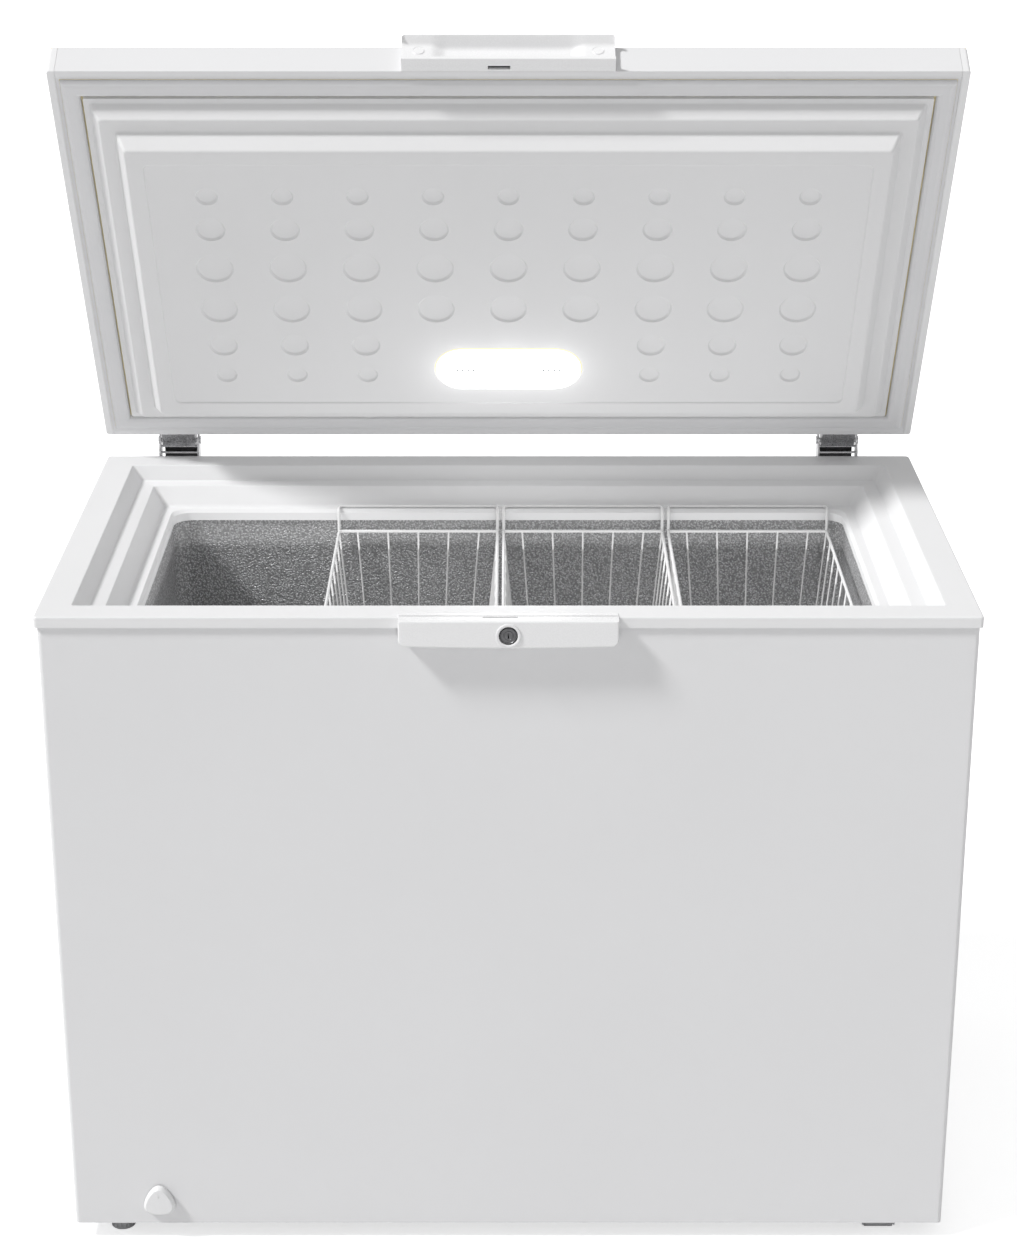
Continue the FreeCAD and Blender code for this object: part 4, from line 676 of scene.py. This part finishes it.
def lamp():
    """Long round-ended lens with a rolled edge, its eight vents, and the light that it throws back."""
    x1, y0, y1 = LAMP_HIGH[0], LAMP_LOW[1], LAMP_HIGH[1]
    depth = LAMP_HIGH[2] - LAMP_LOW[2]
    line = rounded([(0.0002, depth), (0.0002, 0.0), (0.012, -0.0001)], [0, 0.0016, 0], 6)
    levels = [(a - x1, x1 - a, y0 + a, y1 - a, LAMP_LOW[2] + z, (y1 - y0) / 2 - a - 1e-5) for a, z in line]
    lid_piece("lamp_lens_moulding", ring(levels, closed=False, cap_first=True, cap_last=True, corner=20),
              "lamp_diffuser", ["lamp_lens"])
    vents = [lathe([(0, 0.0006), (0.00125, 0.0006), (0.00125, 0), (0, 0)],
                   (side * 0.0515 + (i - 1.5) * 0.0064, LAMP_MIDDLE, LAMP_LOW[2] - 0.0004), (0, 0, 1), 16)
             for side in (-1, 1) for i in range(4)]
    lid_piece("lamp_vents", joined(vents), "black_plastic")
    for x in (-0.058, 0.0, 0.058):
        glow = bpy.data.lights.new("lamp_glow", "POINT")
        glow.energy = GLOW
        glow.shadow_soft_size = 0.012
        lamp_light = bpy.data.objects.new("lamp_glow", glow)
        lamp_light.visible_camera = False
        lamp_light.visible_glossy = False
        lamp_light.location = Vector(swing((x, LAMP_MIDDLE, LAMP_LOW[2] - 0.022)))
        bpy.context.scene.collection.objects.link(lamp_light)
        lamp_light.parent = frame["bodies"]["lid"]
        lamp_light.matrix_parent_inverse = frame["bodies"]["lid"].matrix_world.inverted()


GLOW = 0.03

lid_skin()
lid_gasket()
lid_liner()
lamp()


# ---------------------------------------------------------------- cut-outs
def block(x0, x1, y0, y1, z0, z1, radius=0.0):
    """A box with rounded upright edges, as two rounded rectangles and their caps."""
    return ring([(x0, x1, y0, y1, z0, radius), (x0, x1, y0, y1, z1, radius)], closed=False,
                cap_first=True, cap_last=True, corner=4)


def carved(shell, *cutters):
    """A closed shell with other closed shells cut out of it."""
    made = []
    for number, part in enumerate([shell, *cutters]):
        obj = bpy.data.objects.new(f"carving_{number}", mesh_of("carving", part))
        bpy.context.scene.collection.objects.link(obj)
        made.append(obj)
    for tool in made[1:]:
        cut = made[0].modifiers.new("cut", "BOOLEAN")
        cut.operation = "DIFFERENCE"
        cut.solver = "EXACT"
        cut.object = tool
    graph = bpy.context.evaluated_depsgraph_get()
    result = bpy.data.meshes.new_from_object(made[0].evaluated_get(graph))
    points = np.array([v.co[:] for v in result.vertices])
    faces = [tuple(face.vertices) for face in result.polygons]
    for obj in made:
        bpy.data.objects.remove(obj)
    return points, faces


# ---------------------------------------------------------------- baskets
WIRE = 0.0019
THIN_WIRE = 0.0012
BASKET_FRAME_DROP = 0.067
BASKET_TAPER = 0.1
HOOPS = 2


def bent(points, radius, wire, sides=8, closed=False):
    """A wire bent through some points, with its corners rounded."""
    return tube(rounded(points, radius, 5, closed), wire, sides, closed)


def basket(node):
    """A welded basket: bent frame and hangers, tapering wall wires and hoops, and a floor grid."""
    points = node_points(node)
    low, high = points.min(0), points.max(0)
    top = RIM_TOP - BASKET_FRAME_DROP
    level = points[np.abs(points[:, 2] - top) < 0.003]
    level = level[np.abs(level[:, 2] - top) > 0.0015]
    x0, x1 = low[0] + WIRE, high[0] - WIRE
    y0, y1 = level[:, 1].min() + WIRE, level[:, 1].max() - WIRE
    over0, over1 = low[1] + WIRE, high[1] - WIRE
    seat = high[2] - WIRE
    floor = low[2] + THIN_WIRE
    shrink = BASKET_TAPER * (top - floor)
    shells = [bent([(x0, y0, top), (x1, y0, top), (x1, y1, top), (x0, y1, top)], 0.006, WIRE, closed=True)]
    for y, over in ((y0, over0), (y1, over1)):
        shells.append(bent([(x0, y, top), (x0, y, seat), (x0, over, seat), (x1, over, seat), (x1, y, seat),
                            (x1, y, top)], 0.006, WIRE))
    middle_x, middle_y = (x0 + x1) / 2, (y0 + y1) / 2
    shrunk_x, shrunk_y = 1 - shrink / (x1 - middle_x), 1 - shrink / (y1 - middle_y)
    for offset in 0.0374 * np.arange(-2, 3):
        x = middle_x + offset
        below = middle_x + offset * shrunk_x
        shells.append(bent([(x, y0, top), (below, y0 + shrink, floor), (below, y1 - shrink, floor), (x, y1, top)],
                           0.008, THIN_WIRE, 6))
    for share in np.linspace(0, 1, 10)[1:-1]:
        y = y0 + (y1 - y0) * share
        below = middle_y + (y - middle_y) * shrunk_y
        shells.append(bent([(x0, y, top), (x0 + shrink, below, floor + 2 * THIN_WIRE),
                            (x1 - shrink, below, floor + 2 * THIN_WIRE), (x1, y, top)], 0.008, THIN_WIRE, 6))
    for share in np.linspace(0, 1, HOOPS + 1)[1:]:
        z = top - (top - floor - 0.006) * share
        d = shrink * (top - z) / (top - floor) - THIN_WIRE
        shells.append(bent([(x0 + d, y0 + d, z), (x1 - d, y0 + d, z), (x1 - d, y1 - d, z), (x0 + d, y1 - d, z)],
                           0.008, THIN_WIRE, 6, True))
    for x, y in ((x0, y0), (x1, y0), (x1, y1), (x0, y1)):
        inward = (np.sign(middle_x - x) * shrink, np.sign(middle_y - y) * shrink)
        shells.append(bent([(x, y, top), (x + inward[0], y + inward[1], floor)], 0, THIN_WIRE, 6))
    piece(node + "_wires", joined(shells), node, "wire_coating", [node], smooth=60)


# ---------------------------------------------------------------- handle and lock
HANDLE_LOW, HANDLE_HIGH = shut_box("lid_handle")
CAPS_LOW, CAPS_HIGH = shut_box("handle_caps")
HOUSING_LOW, HOUSING_HIGH = (np.array(c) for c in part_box("lock_housing"))
LOCK_AT = np.array(JOINTS["lock_turn"]["pos_m"])
BARREL_LOW, BARREL_HIGH = (np.array(c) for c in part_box("lock_barrel"))


def handle():
    """Grip: one section carried along the lid's front, hollowed to a finger pocket in the middle.

    The pocket's floor drops in a smooth step between its outer and inner width, and the upper
    corners are cut to a quarter circle by a limit on the height.
    """
    half = HANDLE_HIGH[0]
    end = np.array([0.0, 0.0006, 0.0018, 0.0035, 0.006])
    step = np.linspace(0, 1, 9)
    wall = 0.0667 + (0.0854 - 0.0667) * (1 - step)
    right = np.concatenate([half - end, [0.092], wall, [0.05, 0.02]])
    stations = np.concatenate([right, [0.0], -right[::-1]])
    blend = np.clip((0.0854 - np.abs(stations)) / (0.0854 - 0.0667), 0, 1)
    depth = 0.007 - 0.005 * blend * blend * (3 - 2 * blend)
    corner = 0.006
    into = np.clip(corner - (half - np.abs(stations)), 0, corner)
    limit = 0.043 - corner + np.sqrt(corner ** 2 - into ** 2)
    rows = []
    for x, d, most in zip(stations, depth, limit):
        section = rounded([(0.0, 0.0), (0.017, 0.0), (0.017, 0.005), (d, 0.0056), (d, 0.0348), (0.0165, 0.0415),
                           (0.0165, 0.043), (0.0, 0.043)], [0, 0.0012, 0.0015, 0.0025, 0.007, 0.003, 0.001, 0], 4)
        rows.append(np.stack([np.full(len(section), x), LID_Y0 - section[:, 0],
                              LIP + np.minimum(section[:, 1], most)], 1))
    grid = np.stack(rows)
    count = grid.shape[1]
    faces = grid_faces(len(grid), count, False, True)
    faces += [tuple(range(count)), tuple(range((len(grid) - 1) * count, len(grid) * count))[::-1]]
    slot = block(-0.0225, 0.002, LID_Y0 - 0.0073, LID_Y0 - 0.0024, LIP - 0.002, LIP + 0.004, 0.0006)
    lid_piece("lid_grip", carved((grid.reshape(-1, 3), faces), slot), "handle_plastic", ["lid_handle"],
              smooth=32)
    # Thin black plate at the top of the catch slot: painted shade for the hollow handle behind it.
    back = block(-0.0224, 0.0019, LID_Y0 - 0.0072, LID_Y0 - 0.0025, LIP + 0.0034, LIP + 0.0041, 0.0005)
    lid_piece("catch_painted_shade", back, "black_plastic")
    profile = [(0, 0.0005), (0.0056, 0.0005), (0.0058, 0.0003), (0.0059, -0.0010), (0.0064, -0.0010),
               (0.0065, 0.0004), (0.0068, 0.0002), (0.0068, -0.0012), (0, -0.0012)]
    discs = [lathe(profile, (side * (CAPS_HIGH[0] - 0.0068), LID_Y0 - 0.007, (CAPS_LOW[2] + CAPS_HIGH[2]) / 2),
                   (0, -1, 0), 40) for side in (-1, 1)]
    lid_piece("handle_discs", joined(discs), "handle_plastic", ["handle_caps"])


def housing_outline(inset, low, top):
    """Front view of the housing: a bar with rounded lower corners and a lower edge that sags."""
    half = HOUSING_HIGH[0] - inset
    corner = max(0.007 - inset, 0.001)
    quarter = np.linspace(0, math.pi / 2, 9)
    left = np.stack([-half + corner - corner * np.cos(quarter), corner - corner * np.sin(quarter)], 1)
    run = np.linspace(-half + corner, half - corner, 31)[1:-1]
    bottom = np.stack([run, np.zeros(len(run))], 1)
    right = np.stack([-left[::-1, 0], left[::-1, 1]], 1)
    line = np.concatenate([left, bottom, right])
    line[:, 1] += low + inset - 0.0018 * np.clip(1 - (line[:, 0] / half) ** 2, 0, 1)
    head = np.array([(half, top - inset), (half - 0.001, top - inset), (-half + 0.001, top - inset),
                     (-half, top - inset)])
    return np.concatenate([line, head])


def lock_housing():
    """Housing: its front view carried back to the rim, with a rolled front edge and a flat top plate."""
    front = HOUSING_LOW[1]
    low, top = HOUSING_LOW[2] + 0.0019, HOUSING_HIGH[2]
    back = RIM_LOW[1]
    roll = np.linspace(0, math.pi / 2, 6)
    steps = [(front + 0.002 * (1 - math.sin(a)), 0.002 * (1 - math.cos(a))) for a in roll[::-1]]
    steps += [(back, 0.0), (back, 0.002), (front + 0.002, 0.002)]
    rows = []
    for y, inset in steps:
        line = housing_outline(inset, low, top)
        rows.append(np.stack([line[:, 0], np.full(len(line), y), line[:, 1]], 1))
    grid = np.stack(rows)
    count = grid.shape[1]
    faces = grid_faces(len(grid), count, False, True)
    faces += [tuple(range(count)), tuple(range((len(grid) - 1) * count, len(grid) * count))[::-1]]
    slot = block(-0.027, 0.010, RIM_LOW[1] - 0.0057, RIM_LOW[1] - 0.0032, top - 0.006, top + 0.002, 0.0004)
    hole = lathe([(0, 0.004), (0.0117, 0.004), (0.0117, -0.004), (0, -0.004)],
                 (0, front, LOCK_AT[2]), (0, -1, 0), 48)
    shell = carved((grid.reshape(-1, 3), faces), slot, hole)
    plate = ring([(-HOUSING_HIGH[0], HOUSING_HIGH[0], back - 0.001, HOUSING_HIGH[1], RIM_TOP, 0.001),
                  (-HOUSING_HIGH[0], HOUSING_HIGH[0], back - 0.001, HOUSING_HIGH[1], top - 0.0005, 0.001),
                  (-HOUSING_HIGH[0] + 0.0005, HOUSING_HIGH[0] - 0.0005, back - 0.001, HOUSING_HIGH[1] - 0.0005,
                   top, 0.001)], closed=False, cap_first=True, cap_last=True, corner=3)
    piece("lock_housing_shell", joined([shell, plate]), "cabinet", "handle_plastic", ["lock_housing"], smooth=32)
    bezel = [(0.0100, -0.0060), (0.0100, 0.0002), (0.0103, 0.0009), (0.0110, 0.0014), (0.0122, 0.0015),
             (0.0131, 0.0012), (0.0135, 0.0005), (0.0135, -0.0002), (0.0116, -0.0002), (0.0116, -0.0060),
             (0.0100, -0.0060)]
    piece("lock_ring", lathe(bezel, (0, front, LOCK_AT[2]), (0, -1, 0), 72), "cabinet", "white_plastic",
          ["lock_barrel"])
    core = [(0, 0.0002), (0.0042, 0.0002), (0.0045, 0.0007), (0.0052, 0.0007), (0.0055, 0.0000), (0.0076, 0.0001),
            (0.0080, 0.0006), (0.0086, 0.0005), (0.0090, -0.0002), (0.0090, -0.0118), (0, -0.0118)]
    keyway = block(-0.0007, 0.0007, front - 0.002, front + 0.006, LOCK_AT[2] - 0.0030, LOCK_AT[2] + 0.0030)
    plug = carved(lathe(core, (0, front, LOCK_AT[2]), (0, -1, 0), 64), keyway)
    piece("lock_core", plug, "lock", "lock_steel", ["lock_plug"], smooth=24)


def drain_dial():
    """Three-sided dial: an outline carried forward and then bevelled to a flat face.

    The outline's distance from the middle is 1 + 0.105 cos 3t + 0.014 cos 6t, t measured from the top.
    """
    low, high = (np.array(c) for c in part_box("drain_dial"))
    turn = np.linspace(0, 2 * math.pi, 72, endpoint=False)
    reach = 1 + 0.105 * np.cos(3 * turn) + 0.014 * np.cos(6 * turn)
    line = np.stack([-reach * np.sin(turn), reach * np.cos(turn)], 1)
    line = (line - line.min(0)) / (line.max(0) - line.min(0)) - 0.5
    size = np.array([high[0] - low[0], high[2] - low[2]])
    middle = np.array([(high[0] + low[0]) / 2, (high[2] + low[2]) / 2])
    depth = high[1] - low[1]
    steps = rounded([(0.0, 1.0), (0.5, 0.99), (0.96, 0.84), (1.0, 0.78)], [0, 0.05, 0.03, 0], 4)
    rows = []
    for out, share in steps:
        flat = middle + line * size * share
        rows.append(np.stack([flat[:, 0], np.full(len(flat), high[1] - depth * out), flat[:, 1]], 1))
    grid = np.stack(rows)
    count = grid.shape[1]
    faces = grid_faces(len(grid), count, False, True)
    faces += [tuple(range(count)), tuple(range((len(grid) - 1) * count, len(grid) * count))[::-1]]
    tick = block(middle[0] - 0.0006, middle[0] + 0.0006, low[1] - 0.001, low[1] + 0.0007,
                 middle[1] + 0.0060, middle[1] + 0.0088)
    piece("drain_dial_cap", carved((grid.reshape(-1, 3), faces), tick), "drain_dial", "white_plastic",
          ["drain_dial"], smooth=30)


def hinge_back_shade_plates():
    """Plate behind each hinge's cross pins, between its ears, closing the gaps; it is black as painted shade."""
    for side in ("left", "right"):
        low, high = (np.array(c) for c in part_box("hinge_bracket_" + side))
        y = HINGE[1] + 0.0095
        plate = block(low[0] + 0.0045, high[0] - 0.0045, y, y + 0.0012, RIM_TOP - 0.02, HINGE[2] + 0.004, 0.0003)
        # The black finish on this plate is painted shade for the gaps between the pins.
        piece("hinge_back_shade_" + side, plate, "cabinet", "black_plastic", bevel=0.0003)


hinge_back_shade_plates()
for each in ("basket_left", "basket_middle", "basket_right"):
    basket(each)
handle()
lock_housing()
drain_dial()


# ---------------------------------------------------------------- finishes of the carried-over nodes
def dress_nodes():
    """Each CAD node takes the finish of its slot."""
    for part in frame["record"]["subparts"]:
        mesh = frame["nodes"][part["node"]].data
        mesh.materials.clear()
        mesh.materials.append(FINISH[part["material_slot"]])


dress_nodes()


# ---------------------------------------------------------------- floor, light and camera
def floor_finish():
    """Pale floor that looks white to the eye and still shows the freezer's shadow."""
    material, tree, shader, place = new_material("pale_floor")
    slow = noise(tree, place, 0.6, 2.0)
    tree.links.new(blend_colours(tree, slow, (0.80, 0.80, 0.80), (0.78, 0.78, 0.785)),
                   shader.inputs["Base Color"])
    shader.inputs["Roughness"].default_value = 0.9
    shader.inputs["Specular IOR Level"].default_value = 0.0
    path = tree.nodes.new("ShaderNodeLightPath")
    lift = tree.nodes.new("ShaderNodeMath")
    lift.operation = "MULTIPLY"
    lift.inputs[1].default_value = 0.62
    tree.links.new(path.outputs["Is Camera Ray"], lift.inputs[0])
    tree.links.new(lift.outputs[0], shader.inputs["Emission Strength"])
    shader.inputs["Emission Color"].default_value = (1, 1, 1, 1)
    return material


def studio():
    """A wide floor, a soft sky, one large soft sun from the upper left, and the camera."""
    mesh = bpy.data.meshes.new("floor")
    reach = 40.0
    mesh.from_pydata([(-reach, -reach, 0), (reach, -reach, 0), (reach, reach, 0), (-reach, reach, 0)], [],
                     [(0, 1, 2, 3)])
    mesh.materials.append(floor_finish())
    floor = bpy.data.objects.new("floor", mesh)
    bpy.context.scene.collection.objects.link(floor)

    world = bpy.data.worlds.new("studio")
    bpy.context.scene.world = world
    world.use_nodes = True
    tree = world.node_tree
    tree.nodes.clear()
    out = tree.nodes.new("ShaderNodeOutputWorld")
    path = tree.nodes.new("ShaderNodeLightPath")
    seen = tree.nodes.new("ShaderNodeMath")
    seen.operation = "MAXIMUM"
    tree.links.new(path.outputs["Is Camera Ray"], seen.inputs[0])
    tree.links.new(path.outputs["Is Transmission Ray"], seen.inputs[1])
    soft = tree.nodes.new("ShaderNodeBackground")
    soft.inputs["Color"].default_value = (1, 1, 1, 1)
    soft.inputs["Strength"].default_value = SKY
    white = tree.nodes.new("ShaderNodeBackground")
    white.inputs["Color"].default_value = (1, 1, 1, 1)
    white.inputs["Strength"].default_value = 1.0
    mix = tree.nodes.new("ShaderNodeMixShader")
    tree.links.new(seen.outputs[0], mix.inputs[0])
    tree.links.new(soft.outputs[0], mix.inputs[1])
    tree.links.new(white.outputs[0], mix.inputs[2])
    tree.links.new(mix.outputs[0], out.inputs["Surface"])

    key = bpy.data.lights.new("key", "SUN")
    key.energy = SUN
    key.angle = math.radians(9)
    lamp = bpy.data.objects.new("key", key)
    lamp.rotation_euler = (-Vector(SUN_FROM)).to_track_quat("-Z", "Y").to_euler()
    bpy.context.scene.collection.objects.link(lamp)

    bounce = bpy.data.lights.new("mouth_bounce", "AREA")
    bounce.shape = "RECTANGLE"
    bounce.size = 0.80
    bounce.size_y = 0.36
    bounce.energy = MOUTH_LIGHT
    low_light = bpy.data.objects.new("mouth_bounce", bounce)
    low_light.location = (0.0, 0.0, RIM_TOP - 0.09)
    low_light.rotation_euler = (math.pi, 0.0, 0.0)
    low_light.visible_camera = False
    low_light.visible_glossy = False
    bpy.context.scene.collection.objects.link(low_light)

    eye = bpy.data.cameras.new("camera")
    eye.lens = 76.95
    eye.sensor_width = 36.0
    eye.sensor_fit = "AUTO"
    eye.shift_x = 0.00044
    eye.clip_end = 200.0
    camera = bpy.data.objects.new("camera", eye)
    camera.location = (0.0, -2.9601, 1.7675)
    camera.rotation_euler = (math.radians(69.2), 0.0, 0.0)
    bpy.context.scene.collection.objects.link(camera)
    bpy.context.scene.camera = camera
    bpy.context.scene.view_settings.view_transform = "Standard"


SKY = 0.5
SUN = 2.6
SUN_FROM = (-0.63, -0.225, 0.74)
MOUTH_LIGHT = 1.1

studio()
bpy.context.view_layer.update()
